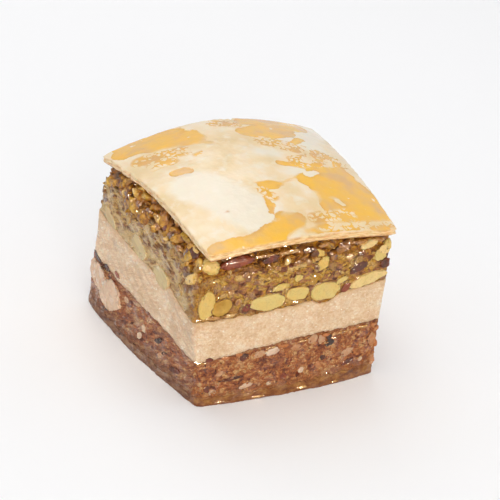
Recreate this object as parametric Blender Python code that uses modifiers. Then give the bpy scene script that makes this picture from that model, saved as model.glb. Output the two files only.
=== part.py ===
"""One hand-cut piece of layered nut baklava, built from the tray up, in metres with +Z up.

Syrup-soaked pastry leaves at the base carry a brown nut layer, a pale nut layer and a pistachio
layer whose kernels are cut through at the sides. A stack of glazed pastry leaves domes over it.
The cut that a buyer sees looks along -Y. The origin is the middle of the flat base.
"""

from collections import namedtuple
from math import radians

import bmesh
import bpy
from mathutils import Matrix, Vector, noise

MM = 0.001

# The knife cuts leave a block that is wider at the back and leans a little. Each outline is given
# by its front and back widths, its depth, and how far the middles of those two edges sit off X = 0.
Outline = namedtuple("Outline", "front_width back_width depth front_shift back_shift")
BASE_OUTLINE = Outline(36.3 * MM, 46.0 * MM, 41.2 * MM, 0.2 * MM, 1.0 * MM)
RIM_OUTLINE = Outline(36.9 * MM, 44.3 * MM, 40.4 * MM, -0.6 * MM, 1.9 * MM)
RIM_HEIGHT = 27.5 * MM  # height at which the rim outline holds

# The soft lower layers belly out between the corners, most at the base.
FRONT_BELLY = 1.1 * MM
LEFT_BELLY = 1.3 * MM
OTHER_BELLY = 0.8 * MM
CORNER_NOSE = 1.9 * MM  # the front left corner swells where the pistachios start
CORNER_WEAR = 0.3 * MM  # each upright corner is this blunt
SLUMPED_WEAR = 0.4 * MM  # and the back left one is blunter by this much at the base

GAP = 0.3 * MM  # clearance between pieces that touch
LID_THICKNESS = 1.7 * MM
LID_WAVE = 0.25 * MM  # height of the shallow waves in the lid
WAVE_LENGTH = 9.0 * MM
EDGE_ROUNDING = 0.5 * MM

# Cut paste is nearly smooth. The coarse nuts under the lid are ragged and stand back from it.
PASTE_RELIEF = 0.22 * MM
PASTE_LUMP = 4.0 * MM
COARSE_RELIEF = 1.0 * MM
COARSE_SETBACK = 0.3 * MM
COARSE_START = 0.45  # share of the pistachio layer's height at which the coarse nuts begin
NUT_LUMP = 2.6 * MM  # spacing of the lumps in the coarse nuts

KERNEL_DEPTH = 9.0 * MM  # how long a kernel is, square to the cut
KERNEL_INSET = 1.1 * MM  # how far its middle lies behind the cut
KERNEL_PROUD = 0.12 * MM  # the paste shrinks back from a kernel's cut face

COLLECTION = "baklava_piece"
CUTTERS = "kernel_pockets"


def arch(share):
    """A bow that is 0 at both ends of an edge and 1 in its middle."""
    return 1 - abs(2 * share - 1) ** 1.7


class Boundary:
    """A wavy surface between two layers: heights at its corners, bows along its edges, and a crown."""

    def __init__(self, front_left, front_right, back_right, back_left, bows=(0, 0, 0, 0), crown=0):
        self.corners = [h * MM for h in (front_left, front_right, back_right, back_left)]
        self.bows = [b * MM for b in bows]
        self.crown = crown * MM

    def height(self, u, v):
        """Height at the share u of the width, from the left, and v of the depth, from the front."""
        front_left, front_right, back_right, back_left = self.corners
        front, right, back, left = self.bows
        front_edge = front_left * (1 - u) + front_right * u + front * arch(u)
        back_edge = back_left * (1 - u) + back_right * u + back * arch(u)
        side_bow = (left * (1 - u) + right * u) * arch(v)
        inside = 1 - max(abs(2 * u - 1), abs(2 * v - 1)) ** 6
        return front_edge * (1 - v) + back_edge * v + side_bow + self.crown * inside


# Heights in mm at the front left, front right, back right and back left corners, then how far the
# front, right, back and left edges bow up between them. The crown lifts all but a strip at the rim.
TRAY = Boundary(0, 0, 0, 0)
SOAKED_TOP = Boundary(1.8, 2.7, 2.3, 2.0, bows=(-0.4, -0.2, -0.3, -0.2))
BROWN_TOP = Boundary(8.4, 11.2, 10.8, 10.4, bows=(1.1, 0.6, 0.5, 0.7))
PALE_TOP = Boundary(16.6, 19.7, 19.3, 19.2, bows=(-0.8, 0.3, 0.4, 0.2))
NUTS_TOP = Boundary(27.4, 27.6, 29.3, 27.7, bows=(1.2, 1.3, 4.6, 2.2), crown=0.4)

# How far the lid reaches past each cut or, below zero, stops short of it.
Overhang = namedtuple("Overhang", "front right back left")
LID_OVERHANG = Overhang(0.7 * MM, 0.0, 0.3 * MM, -0.3 * MM)

Finish = namedtuple("Finish", "colour roughness")
SOAKED_PASTRY = Finish((0.42, 0.20, 0.085), 0.25)
BROWN_NUTS = Finish((0.31, 0.13, 0.065), 0.45)
PALE_NUTS = Finish((0.76, 0.54, 0.33), 0.5)
GROUND_PISTACHIO = Finish((0.33, 0.17, 0.065), 0.4)
PISTACHIO_KERNEL = Finish((0.68, 0.49, 0.17), 0.4)
GLAZED_PASTRY = Finish((0.90, 0.70, 0.40), 0.12)

# A kernel where a cut goes through it: how far along the face from its left end, how far its
# underside sits above the pale layer or, below zero, is pressed into it, its width and thickness
# in the cut, and its tilt in degrees.
Kernel = namedtuple("Kernel", "along rise width thickness tilt")
CUT_KERNELS = {
    "front": [
        Kernel(0.6, 0.7, 4.6, 4.4, 68),
        Kernel(4.9, 0.7, 4.2, 2.6, 14),
        Kernel(12.3, 0.4, 6.2, 3.0, 6),
        Kernel(18.5, 0.9, 4.6, 2.8, 24),
        Kernel(24.5, -0.5, 5.8, 3.4, 12),
        Kernel(33.2, 0.4, 7.2, 2.5, 21),
    ],
    "left": [
        Kernel(6.2, 0.7, 4.6, 2.6, -14),
        Kernel(18.0, 0.7, 4.4, 3.6, 12),
        Kernel(26.6, 0.7, 3.2, 2.5, 16),
    ],
    "back": [
        Kernel(8.0, 0.7, 6.2, 3.0, -6),
        Kernel(19.5, 0.8, 5.0, 3.3, 16),
        Kernel(31.5, 0.5, 6.4, 2.8, 5),
    ],
    "right": [
        Kernel(8.5, 0.8, 5.6, 3.1, -12),
        Kernel(20.5, 0.6, 6.6, 2.9, 8),
        Kernel(32.0, 0.8, 4.6, 3.2, -20),
    ],
}
# The kernels at the ends of the front face reach round the corner, where a second cut trims them.
# Each second face is given with the share of its length at which the corner is.
SECOND_CUTS = {"front_kernel_1": ("left", 1), "front_kernel_6": ("right", 0)}

# Where each cut face starts and ends in the plan, as shares of the width and of the depth, from
# its left end to its right end as it is looked at.
FACE_ENDS = {
    "front": (Vector((0, 0)), Vector((1, 0))),
    "right": (Vector((1, 0)), Vector((1, 1))),
    "back": (Vector((1, 1)), Vector((0, 1))),
    "left": (Vector((0, 1)), Vector((0, 0))),
}


def outline_point(outline, u, v):
    """The plan position of a share of the width and of the depth inside one outline."""
    width = outline.front_width * (1 - v) + outline.back_width * v
    shift = outline.front_shift * (1 - v) + outline.back_shift * v
    return Vector((shift + (u - 0.5) * width, (v - 0.5) * outline.depth, 0))


def block_point(u, v, z):
    """A point of the smooth block: the share u of its width and v of its depth, at height z."""
    share = z / RIM_HEIGHT
    slump = max(0.0, 1 - share)
    point = outline_point(BASE_OUTLINE, u, v).lerp(outline_point(RIM_OUTLINE, u, v), share)
    point.y += slump * arch(u) * (OTHER_BELLY * v - FRONT_BELLY * (1 - v))
    point.x += slump * arch(v) * (OTHER_BELLY * u - LEFT_BELLY * (1 - u))

    nose_height = PALE_TOP.corners[0]
    nose_fade = max(0.0, 1 - abs(z - nose_height) / (RIM_HEIGHT - nose_height))
    point.x -= CORNER_NOSE * nose_fade * max(0.0, 1 - 4 * u) * max(0.0, 1 - 4 * v)

    wear = CORNER_WEAR + (SLUMPED_WEAR * slump if u < 0.5 < v else 0)
    at_corner = (abs(2 * u - 1) * abs(2 * v - 1)) ** 8
    point -= Vector((u - 0.5, v - 0.5, 0)).normalized() * wear * at_corner
    point.z = z
    return point


def outward(u, v):
    """The direction square to the cut at the edge of the block, or zero inside it."""
    return Vector(((u == 1) - (u == 0), (v == 1) - (v == 0), 0))


def cut_relief(point, coarse):
    """How far a cut stands out: smooth paste where coarse is 0, and ragged nuts where it is 1."""
    paste = PASTE_RELIEF * noise.noise(point / PASTE_LUMP)
    nearest_lump = noise.voronoi(point / NUT_LUMP)[0][0]
    nuts = COARSE_RELIEF * (0.5 - nearest_lump) - COARSE_SETBACK
    return paste * (1 - coarse) + nuts * coarse


def material_for(name, finish):
    """A plain Principled material of one colour."""
    material = bpy.data.materials.new(name)
    material.use_nodes = True
    shader = material.node_tree.nodes["Principled BSDF"]
    shader.inputs["Base Color"].default_value = (*finish.colour, 1)
    shader.inputs["Roughness"].default_value = finish.roughness
    shader.inputs["Metallic"].default_value = 0.0
    return material


def object_from(shape, name, material, collection):
    """A named object that holds a bmesh, with its material."""
    mesh = bpy.data.meshes.new(name)
    shape.to_mesh(mesh)
    shape.free()
    mesh.materials.append(material)
    piece = bpy.data.objects.new(name, mesh)
    bpy.data.collections[collection].objects.link(piece)
    return piece


def sliced_cube(slices):
    """A unit cube from 0 to 1, cut into this many slices along X, Y and Z."""
    shape = bmesh.new()
    bmesh.ops.create_cube(shape, size=1, matrix=Matrix.Translation((0.5, 0.5, 0.5)))
    for axis, count in enumerate(slices):
        normal = Vector([float(i == axis) for i in range(3)])
        for slice_number in range(1, count):
            bmesh.ops.bisect_plane(
                shape,
                geom=shape.verts[:] + shape.edges[:] + shape.faces[:],
                plane_co=normal * slice_number / count,
                plane_no=normal,
            )
    return shape


def layer_block(name, finish, lower, upper, slices, coarse_top=False):
    """One layer of the block, stretched between two boundaries, with relief on its cut sides."""
    shape = sliced_cube(slices)
    clearance = 0 if lower is TRAY else GAP
    for vertex in shape.verts:
        u, v, share = vertex.co
        low, high = lower.height(u, v) + clearance, upper.height(u, v)
        point = block_point(u, v, low + (high - low) * share)
        coarse = max(0.0, share - COARSE_START) / (1 - COARSE_START) if coarse_top else 0.0
        vertex.co = point + outward(u, v) * cut_relief(point, coarse)
    return object_from(shape, name, material_for(name + "_finish", finish), COLLECTION)


def lid_point(u, v):
    """A point on the underside of the lid, which overhangs the cuts and has shallow waves."""
    point = block_point(u, v, NUTS_TOP.height(u, v) + GAP)
    reach = outward(u, v)
    point.x += LID_OVERHANG.right if reach.x > 0 else LID_OVERHANG.left * reach.x
    point.y += LID_OVERHANG.back if reach.y > 0 else LID_OVERHANG.front * reach.y
    point.z += LID_WAVE * (0.5 + 0.5 * noise.noise(point / WAVE_LENGTH))
    return point


def pastry_lid():
    """The glazed leaves on top: a domed sheet given its thickness by Solidify."""
    shape = bmesh.new()
    bmesh.ops.create_grid(shape, x_segments=16, y_segments=16, size=0.5)
    for vertex in shape.verts:
        vertex.co = lid_point(vertex.co.x + 0.5, vertex.co.y + 0.5)
    lid = object_from(shape, "top_pastry", material_for("glazed_pastry", GLAZED_PASTRY), COLLECTION)
    leaves = lid.modifiers.new("leaf_stack", "SOLIDIFY")
    leaves.thickness = LID_THICKNESS
    leaves.offset = 1
    rims = lid.modifiers.new("rounded_rims", "BEVEL")
    rims.width = EDGE_ROUNDING
    rims.segments = 2
    rims.limit_method = "ANGLE"


def face_line(face, z):
    """The two ends of a cut face at height z."""
    return [block_point(*end, z) for end in FACE_ENDS[face]]


def on_face(face, share, z):
    """A point at a share of a cut face's length, the way along the face and the way out of it."""
    first, last = face_line(face, z)
    way = (last - first).normalized()
    start, end = FACE_ENDS[face]
    return block_point(*start.lerp(end, share), z), way, way.cross(Vector((0, 0, 1)))


def kernel_shape(kernel, face, grown):
    """An egg-shaped kernel that lies across a cut, with that cut. Growing it makes its pocket."""
    first, last = face_line(face, PALE_TOP.corners[0])
    share = kernel.along * MM / (last - first).length
    start, end = FACE_ENDS[face]
    underside = PALE_TOP.height(*start.lerp(end, share)) + kernel.rise * MM
    point, way, out = on_face(face, share, underside + kernel.thickness * MM / 2)

    half_size = Vector((kernel.width * MM, KERNEL_DEPTH, kernel.thickness * MM)) / 2
    turn = Matrix((way, -out, Vector((0, 0, 1)))).transposed()
    turn = turn @ Matrix.Rotation(-radians(kernel.tilt), 3, "Y")
    shape = bmesh.new()
    bmesh.ops.create_uvsphere(shape, u_segments=11, v_segments=7, radius=1)
    for vertex in shape.verts:
        local = Vector([vertex.co[i] * (half_size[i] + grown) for i in range(3)])
        vertex.co = point - out * KERNEL_INSET + turn @ local
    return shape, point, out


def trimmed(shape, point, out):
    """Cuts a kernel off where the knife went through, and closes the cut."""
    cut = bmesh.ops.bisect_plane(
        shape,
        geom=shape.verts[:] + shape.edges[:] + shape.faces[:],
        plane_co=point + out * KERNEL_PROUD,
        plane_no=out,
        clear_outer=True,
    )
    rim = [part for part in cut["geom_cut"] if isinstance(part, bmesh.types.BMEdge)]
    bmesh.ops.holes_fill(shape, edges=rim)


def cut_kernel(name, kernel, face, layers):
    """A kernel cut through at a face, and the pocket that it leaves in the layers round it."""
    shape, point, out = kernel_shape(kernel, face, 0)
    trimmed(shape, point, out)
    if name in SECOND_CUTS:
        second_face, share = SECOND_CUTS[name]
        corner, _, second_out = on_face(second_face, share, point.z)
        trimmed(shape, corner, second_out)
    material = bpy.data.materials["pistachio_kernel"]
    object_from(shape, name, material, COLLECTION)

    pocket_shape, _, _ = kernel_shape(kernel, face, GAP)
    pocket = object_from(pocket_shape, name + "_pocket", material, CUTTERS)
    pocket.hide_render = True
    pocket.display_type = "WIRE"
    for layer in layers:
        bite = layer.modifiers.new(name + "_pocket", "BOOLEAN")
        bite.operation = "DIFFERENCE"
        bite.solver = "EXACT"
        bite.object = pocket


def clear_scene():
    """Starts from an empty scene with one collection for the food and one for the cutters."""
    for leftover in list(bpy.data.objects):
        bpy.data.objects.remove(leftover)
    for name in (COLLECTION, CUTTERS):
        bpy.context.scene.collection.children.link(bpy.data.collections.new(name))


def centre_on_base():
    """Moves every piece so that the middle of the whole footprint stands on the origin."""
    bpy.context.view_layer.update()
    pieces = bpy.data.collections[COLLECTION].objects
    corners = [Vector(corner) for piece in pieces for corner in piece.bound_box]
    lowest = Vector([min(corner[i] for corner in corners) for i in range(2)])
    highest = Vector([max(corner[i] for corner in corners) for i in range(2)])
    for piece in list(pieces) + list(bpy.data.collections[CUTTERS].objects):
        piece.location -= ((lowest + highest) / 2).to_3d()


def build():
    """Stacks the layers, sets the kernels in the pistachio layer and lays the lid on top."""
    clear_scene()
    layer_block("bottom_pastry", SOAKED_PASTRY, TRAY, SOAKED_TOP, (12, 14, 1))
    layer_block("brown_nut_layer", BROWN_NUTS, SOAKED_TOP, BROWN_TOP, (12, 14, 3))
    pale = layer_block("pale_nut_layer", PALE_NUTS, BROWN_TOP, PALE_TOP, (12, 14, 3))
    nuts = layer_block("pistachio_layer", GROUND_PISTACHIO, PALE_TOP, NUTS_TOP, (14, 16, 5), coarse_top=True)
    material_for("pistachio_kernel", PISTACHIO_KERNEL)
    for face, kernels in CUT_KERNELS.items():
        for number, kernel in enumerate(kernels, start=1):
            pressed_in = kernel.rise < GAP / MM
            cut_kernel(f"{face}_kernel_{number}", kernel, face, [nuts, pale] if pressed_in else [nuts])
    pastry_lid()
    centre_on_base()


build()
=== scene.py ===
"""A hand-cut piece of layered nut baklava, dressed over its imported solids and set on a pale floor.

The layers are made from the tray up, in the order in which the baker lays them, and each takes its
outline and its heights from the solids. Lengths are in metres.
"""

from math import atan2, cos, hypot, pi, radians, sin, tau

import bmesh
import bpy
import numpy as np
from mathutils import Matrix, Vector, noise
from mathutils.bvhtree import BVHTree


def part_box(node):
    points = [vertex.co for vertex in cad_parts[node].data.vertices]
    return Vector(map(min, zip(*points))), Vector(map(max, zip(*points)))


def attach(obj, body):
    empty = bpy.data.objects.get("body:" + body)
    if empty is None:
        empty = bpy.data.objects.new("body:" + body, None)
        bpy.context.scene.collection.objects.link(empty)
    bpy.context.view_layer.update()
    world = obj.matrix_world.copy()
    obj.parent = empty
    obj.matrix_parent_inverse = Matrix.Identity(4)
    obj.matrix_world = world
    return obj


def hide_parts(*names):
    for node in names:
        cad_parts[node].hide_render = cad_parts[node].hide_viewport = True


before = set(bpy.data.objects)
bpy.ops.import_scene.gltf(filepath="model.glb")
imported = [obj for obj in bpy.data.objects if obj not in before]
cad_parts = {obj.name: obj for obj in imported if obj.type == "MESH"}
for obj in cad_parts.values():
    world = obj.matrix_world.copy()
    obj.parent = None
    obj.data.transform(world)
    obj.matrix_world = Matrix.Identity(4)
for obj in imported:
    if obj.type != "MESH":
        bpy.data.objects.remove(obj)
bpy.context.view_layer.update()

# Soaked bottom pastry
# Phyllo leaves that lined the tray and drank syrup until they became one translucent brown band.
# The same knife strokes cut them and every layer above, so the cut is measured once, here.

MM = 0.001
FAR = 60 * MM
TURNS = 720
RISE = 0.5 * MM
RISES = 66
SPACING = 0.17 * MM  # between the points of a cut, close enough for crumbs of nut to have a shape


def search_tree(*names):
    """A tree for finding where a line meets these CAD solids."""
    shape = bmesh.new()
    for name in names:
        shape.from_mesh(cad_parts[name].data)
    tree = BVHTree.FromBMesh(shape)
    shape.free()
    return tree


def around_each(grid, pick):
    """Each value of a ring-shaped grid replaced by what pick makes of it and its neighbours."""
    tall = np.pad(grid, ((0, 0), (1, 1)), mode="edge")
    beside = [np.roll(tall, shift, axis=0) for shift in (-1, 0, 1)]
    return pick([side[:, rise : rise + grid.shape[1]] for side in beside for rise in range(3)])


def measured_cut():
    """How far the cut stands from the upright axis, with the slits between the solids closed."""
    solids = search_tree(*[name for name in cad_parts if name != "top_pastry"])
    found = np.zeros((TURNS, RISES))
    for turn in range(TURNS):
        way = Vector((cos(tau * turn / TURNS), sin(tau * turn / TURNS), 0))
        for rise in range(RISES):
            start = way * FAR + Vector((0, 0, (rise + 0.5) * RISE))
            hit = solids.ray_cast(start, -way)[0]
            found[turn, rise] = hit.xy.length if hit else 0
    for rise in range(1, RISES):
        missed = found[:, rise] < 0.9 * found[:, rise - 1]
        found[missed, rise] = found[missed, rise - 1]
    found = around_each(found, lambda nearby: np.max(nearby, axis=0))
    found = around_each(found, lambda nearby: np.min(nearby, axis=0))
    for _ in range(2):
        found = around_each(found, lambda nearby: np.mean(nearby, axis=0))
    return found


cut = measured_cut()


def reach_at(turn, z):
    """How far the cut stands from the upright axis, towards the angle turn and at height z."""
    column = np.floor(turn / tau * TURNS).astype(int)
    beyond = turn / tau * TURNS - column
    level = np.clip(z / RISE - 0.5, 0, RISES - 1.001)
    row = np.floor(level).astype(int)
    above = level - row
    left, right = column % TURNS, (column + 1) % TURNS
    lower = cut[left, row] * (1 - beyond) + cut[right, row] * beyond
    upper = cut[left, row + 1] * (1 - beyond) + cut[right, row + 1] * beyond
    return lower * (1 - above) + upper * above


# Columns at even spacing round the cut. The distance round is 0 at the near corner, between the
# front and the left face, and grows along the front; along the left face it is below zero.
MID_HEIGHT = 15 * MM
fine_turns = np.linspace(0, tau, 4 * TURNS + 1)
fine_reach = reach_at(fine_turns, np.full_like(fine_turns, MID_HEIGHT))
fine_outline = np.stack([fine_reach * np.cos(fine_turns), fine_reach * np.sin(fine_turns)], 1)
fine_length = np.concatenate([[0], np.linalg.norm(np.diff(fine_outline, axis=0), axis=1).cumsum()])
girth = fine_length[-1]
COLUMNS = round(girth / SPACING)
column_length = np.linspace(0, girth, COLUMNS, endpoint=False)
turns = np.interp(column_length, fine_length, fine_turns)


def corner_length(x_side, y_side):
    """How far round from angle 0 the upright corner on these sides of the axes is."""
    in_quarter = (fine_outline[:, 0] * x_side > 0) & (fine_outline[:, 1] * y_side > 0)
    return fine_length[np.argmax(fine_reach * in_quarter)]


near_corner = corner_length(-1, -1)
distance_round = (column_length - near_corner + girth / 2) % girth - girth / 2
front_length = corner_length(1, -1) - near_corner
left_length = near_corner - corner_length(-1, 1)


def smoothstep(low, high, value):
    """0 up to low, 1 from high on, and a smooth rise between."""
    share = np.clip((value - low) / (high - low), 0, 1)
    return share * share * (3 - 2 * share)


# The knife dragged crumbs down the left face, which is also the side in shade. The materials use this mask for
# the smears and for painted shade on that face.
CORNER_BLEND = 1.2 * MM
on_left = smoothstep(-left_length - CORNER_BLEND, -left_length, distance_round)
on_left = on_left * smoothstep(CORNER_BLEND / 2, -CORNER_BLEND / 2, distance_round)

by_length = np.argsort(distance_round)
side_by_length = distance_round[by_length], on_left[by_length]
front_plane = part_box("bottom_pastry")[0].y
EDGE_INSET = 1.5 * MM


def edge_height(name, upward=False):
    """Height round the cut of a solid's top or, looking upward, of its underside."""
    tree = search_tree(name)
    inside = reach_at(turns, np.full_like(turns, MID_HEIGHT)) - EDGE_INSET
    way = Vector((0, 0, 1 if upward else -1))
    start = MID_HEIGHT if upward else FAR
    heights = []
    for turn, distance in zip(turns, inside):
        hit = tree.ray_cast(Vector((cos(turn) * distance, sin(turn) * distance, start)), way)[0]
        heights.append(hit.z if hit else heights[-1])
    near = range(-4, 5)
    return sum(np.roll(heights, shift) for shift in near) / len(near)


def ragged(heights, depth, length, seed):
    """Heights with a ragged wave of this depth and length along the cut."""
    waves = [
        noise.fractal(Vector((cos(turn), sin(turn), seed)) * girth / tau / length, 0.8, 2.0, 4)
        for turn in turns
    ]
    return heights + depth * np.array(waves)


def plug(tree, node, inputs):
    """Sets a node's inputs, each as a value or as a link."""
    for name, value in inputs.items():
        if isinstance(value, bpy.types.NodeSocket):
            tree.links.new(value, node.inputs[name])
        else:
            node.inputs[name].default_value = value


def add(tree, kind, inputs=None, stops=(), **settings):
    """Adds a node with its settings, its inputs and its ramp's stops."""
    node = tree.nodes.new(kind)
    for name, value in settings.items():
        setattr(node, name, value)
    plug(tree, node, inputs or {})
    for index, (position, colour) in enumerate(stops):
        ramp = node.color_ramp.elements
        stop = ramp[index] if index < len(ramp) else ramp.new(position)
        stop.position = position
        stop.color = linear(colour)
    return node


def linear(hex_colour):
    """An sRGB hex colour as linear light."""
    channels = [int(hex_colour[i : i + 2], 16) / 255 for i in (1, 3, 5)]
    return (*[c / 12.92 if c <= 0.04045 else ((c + 0.055) / 1.055) ** 2.4 for c in channels], 1)


def placed(name, mesh, material=None):
    """A mesh as a named object at the origin, shaded smooth."""
    mesh.polygons.foreach_set("use_smooth", np.ones(len(mesh.polygons), bool))
    if material:
        mesh.materials.append(material)
    piece = bpy.data.objects.new(name, mesh)
    bpy.context.scene.collection.objects.link(piece)
    return piece


def new_object(name, points, faces, material=None):
    """A named object from points and faces."""
    mesh = bpy.data.meshes.new(name)
    mesh.from_pydata(points, [], faces)
    return placed(name, mesh, material)


def set_values(piece, name, values):
    """Stores one number for each point of a piece, for its material and its relief to read."""
    attribute = piece.data.attributes.new(name, "FLOAT", "POINT")
    attribute.data.foreach_set("value", np.asarray(values, np.float32).ravel())


CAP_INSET = 1.5 * MM


def cut_layer(name, low, high, back_off=0.0):
    """A layer between two heights round the cut, closed by a floor and a roof.

    It stores how high each point is in the layer, how far round the cut, and whether it is on
    the cut. Rows of points run round the cut from the bottom to the top.
    """
    rows = int(np.max(high - low) / SPACING) + 2
    share = np.linspace(0, 1, rows)[:, None]
    z = low * (1 - share) + high * share
    reach = reach_at(np.broadcast_to(turns, z.shape), z) - back_off
    levels = [(reach[0] - CAP_INSET, z[0], 0.0, 0.0)]
    levels += [(reach[row], z[row], share[row, 0], 1.0) for row in range(rows)]
    levels += [(reach[-1] - CAP_INSET, z[-1], 1.0, 0.0)]
    distance = np.array([level[0] for level in levels])
    height = np.array([level[1] for level in levels])
    points = np.stack([distance * np.cos(turns), distance * np.sin(turns), height], -1)
    middles = [(0, 0, z[0].mean()), (0, 0, z[-1].mean())]
    points = np.concatenate([points.reshape(-1, 3), middles])

    start = np.arange(len(levels) - 1)[:, None] * COLUMNS + np.arange(COLUMNS)
    end = np.arange(len(levels) - 1)[:, None] * COLUMNS + (np.arange(COLUMNS) + 1) % COLUMNS
    faces = np.stack([start, end, end + COLUMNS, start + COLUMNS], -1).reshape(-1, 4).tolist()
    last = len(levels) * COLUMNS
    top_row = last - COLUMNS
    for column in range(COLUMNS):
        following = (column + 1) % COLUMNS
        faces.append((last, following, column))
        faces.append((last + 1, top_row + column, top_row + following))
    layer = new_object(name, points, faces)
    wall = np.repeat([level[3] for level in levels], COLUMNS)
    rise = np.repeat([level[2] for level in levels], COLUMNS)
    set_values(layer, "wall", np.append(wall, [0, 0]))
    set_values(layer, "rise", np.append(rise, [0, 1]))
    set_values(layer, "along", np.append(np.tile(distance_round, len(levels)), [0, 0]))
    set_values(layer, "dragged", np.append(np.tile(on_left, len(levels)), [0, 0]))
    return layer


def numbers_of(piece, name):
    """The numbers stored for each point of a piece."""
    values = np.zeros(len(piece.data.vertices), np.float32)
    piece.data.attributes[name].data.foreach_get("value", values)
    return values


def places_of(piece):
    """The place of each point of a piece."""
    places = np.zeros(3 * len(piece.data.vertices))
    piece.data.vertices.foreach_get("co", places)
    return places.reshape(-1, 3)


def relief_tree():
    """Geometry Nodes that break a cut face into fragments of nut, which stand in and out of it.

    The place that the fragments are worked out from is stored as grain, so that a material can
    give each fragment its own colour.
    """
    tree = bpy.data.node_groups.new("cut_face_relief", "GeometryNodeTree")
    tree.interface.new_socket("Geometry", in_out="INPUT", socket_type="NodeSocketGeometry")
    for name in ("Lump Size", "Lump Depth", "Grain Size", "Grain Depth", "Coarse Depth", "Flattening", "Front"):
        tree.interface.new_socket(name, in_out="INPUT", socket_type="NodeSocketFloat")
    tree.interface.new_socket("Material", in_out="INPUT", socket_type="NodeSocketMaterial")
    tree.interface.new_socket("Geometry", in_out="OUTPUT", socket_type="NodeSocketGeometry")
    given = add(tree, "NodeGroupInput").outputs
    place = add(tree, "GeometryNodeInputPosition").outputs[0]
    lump_scale = add(tree, "ShaderNodeMath", {0: 1.0, 1: given["Lump Size"]}, operation="DIVIDE")
    grain_scale = add(tree, "ShaderNodeMath", {0: 1.0, 1: given["Grain Size"]}, operation="DIVIDE")
    lumps = add(tree, "ShaderNodeTexNoise", {"Vector": place, "Scale": lump_scale.outputs[0], "Detail": 3.0})
    warp = add(tree, "ShaderNodeTexNoise", {"Vector": place, "Scale": grain_scale.outputs[0], "Detail": 2.0})
    centred = add(
        tree,
        "ShaderNodeVectorMath",
        {0: warp.outputs["Color"], 1: (0.5, 0.5, 0.5)},
        operation="SUBTRACT",
    )
    warped = add(
        tree,
        "ShaderNodeVectorMath",
        {0: centred.outputs[0], "Scale": given["Grain Size"]},
        operation="SCALE",
    )
    dragged = add(tree, "GeometryNodeInputNamedAttribute", {"Name": "dragged"}, data_type="FLOAT")
    axes = add(tree, "ShaderNodeSeparateXYZ", {0: place})
    behind = add(tree, "ShaderNodeMath", {0: axes.outputs["Y"], 1: given["Front"]}, operation="SUBTRACT")
    slid = add(tree, "ShaderNodeMath", {0: behind.outputs[0], 1: dragged.outputs[0]}, operation="MULTIPLY")
    slide = add(
        tree,
        "ShaderNodeMath",
        {0: slid.outputs[0], 1: -0.6, 2: axes.outputs["Y"]},
        operation="MULTIPLY_ADD",
    )
    tilt = add(
        tree,
        "ShaderNodeMath",
        {0: slid.outputs[0], 1: 0.35, 2: axes.outputs["Z"]},
        operation="MULTIPLY_ADD",
    )
    pressed = add(tree, "ShaderNodeMath", {0: tilt.outputs[0], 1: given["Flattening"]}, operation="MULTIPLY")
    drawn = add(
        tree,
        "ShaderNodeCombineXYZ",
        {"X": axes.outputs["X"], "Y": slide.outputs[0], "Z": pressed.outputs[0]},
    )
    grain = add(
        tree, "ShaderNodeVectorMath", {0: drawn.outputs[0], 1: warped.outputs[0]}, operation="ADD"
    ).outputs[0]
    edges = add(
        tree,
        "ShaderNodeTexVoronoi",
        {"Vector": grain, "Scale": grain_scale.outputs[0]},
        feature="DISTANCE_TO_EDGE",
    )
    cells = add(tree, "ShaderNodeTexVoronoi", {"Vector": grain, "Scale": grain_scale.outputs[0]}, feature="F1")
    tone = add(tree, "ShaderNodeSeparateXYZ", {0: cells.outputs["Color"]})
    dome = add(
        tree,
        "ShaderNodeMapRange",
        {"Value": edges.outputs["Distance"], "From Max": 0.3},
        interpolation_type="SMOOTHSTEP",
    )
    step = add(tree, "ShaderNodeMath", {0: tone.outputs["X"], 1: dome.outputs[0]}, operation="MULTIPLY")
    step = add(tree, "ShaderNodeMath", {0: step.outputs[0], 1: 0.5}, operation="SUBTRACT")
    coarse = add(tree, "GeometryNodeInputNamedAttribute", {"Name": "coarse"}, data_type="FLOAT")
    deep = add(
        tree,
        "ShaderNodeMath",
        {0: coarse.outputs[0], 1: given["Coarse Depth"], 2: given["Grain Depth"]},
        operation="MULTIPLY_ADD",
    )
    step = add(tree, "ShaderNodeMath", {0: step.outputs[0], 1: deep.outputs[0]}, operation="MULTIPLY")
    swell = add(tree, "ShaderNodeMath", {0: lumps.outputs[0], 1: 0.5}, operation="SUBTRACT")
    height = add(
        tree,
        "ShaderNodeMath",
        {0: swell.outputs[0], 1: given["Lump Depth"], 2: step.outputs[0]},
        operation="MULTIPLY_ADD",
    )
    wall = add(tree, "GeometryNodeInputNamedAttribute", {"Name": "wall"}, data_type="FLOAT")
    height = add(tree, "ShaderNodeMath", {0: height.outputs[0], 1: wall.outputs[0]}, operation="MULTIPLY")
    normal = add(tree, "GeometryNodeInputNormal")
    offset = add(
        tree,
        "ShaderNodeVectorMath",
        {0: normal.outputs[0], "Scale": height.outputs[0]},
        operation="SCALE",
    )
    stored = add(
        tree,
        "GeometryNodeStoreNamedAttribute",
        {"Geometry": given["Geometry"], "Name": "grain", "Value": grain},
        data_type="FLOAT_VECTOR",
        domain="POINT",
    )
    moved = add(tree, "GeometryNodeSetPosition", {"Geometry": stored.outputs[0], "Offset": offset.outputs[0]})
    painted = add(
        tree,
        "GeometryNodeSetMaterial",
        {"Geometry": moved.outputs[0], "Material": given["Material"]},
    )
    add(tree, "NodeGroupOutput", {"Geometry": painted.outputs[0]})
    return tree


def settle(piece, made, material):
    """Gives a piece the plain mesh that its modifiers made, all of one material."""
    made.materials.clear()
    made.materials.append(material)
    made.polygons.foreach_set("material_index", np.zeros(len(made.polygons), np.int32))
    made.polygons.foreach_set("use_smooth", np.ones(len(made.polygons), bool))
    old = piece.data
    piece.data = made
    bpy.data.meshes.remove(old)
    made.name = piece.name


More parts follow.
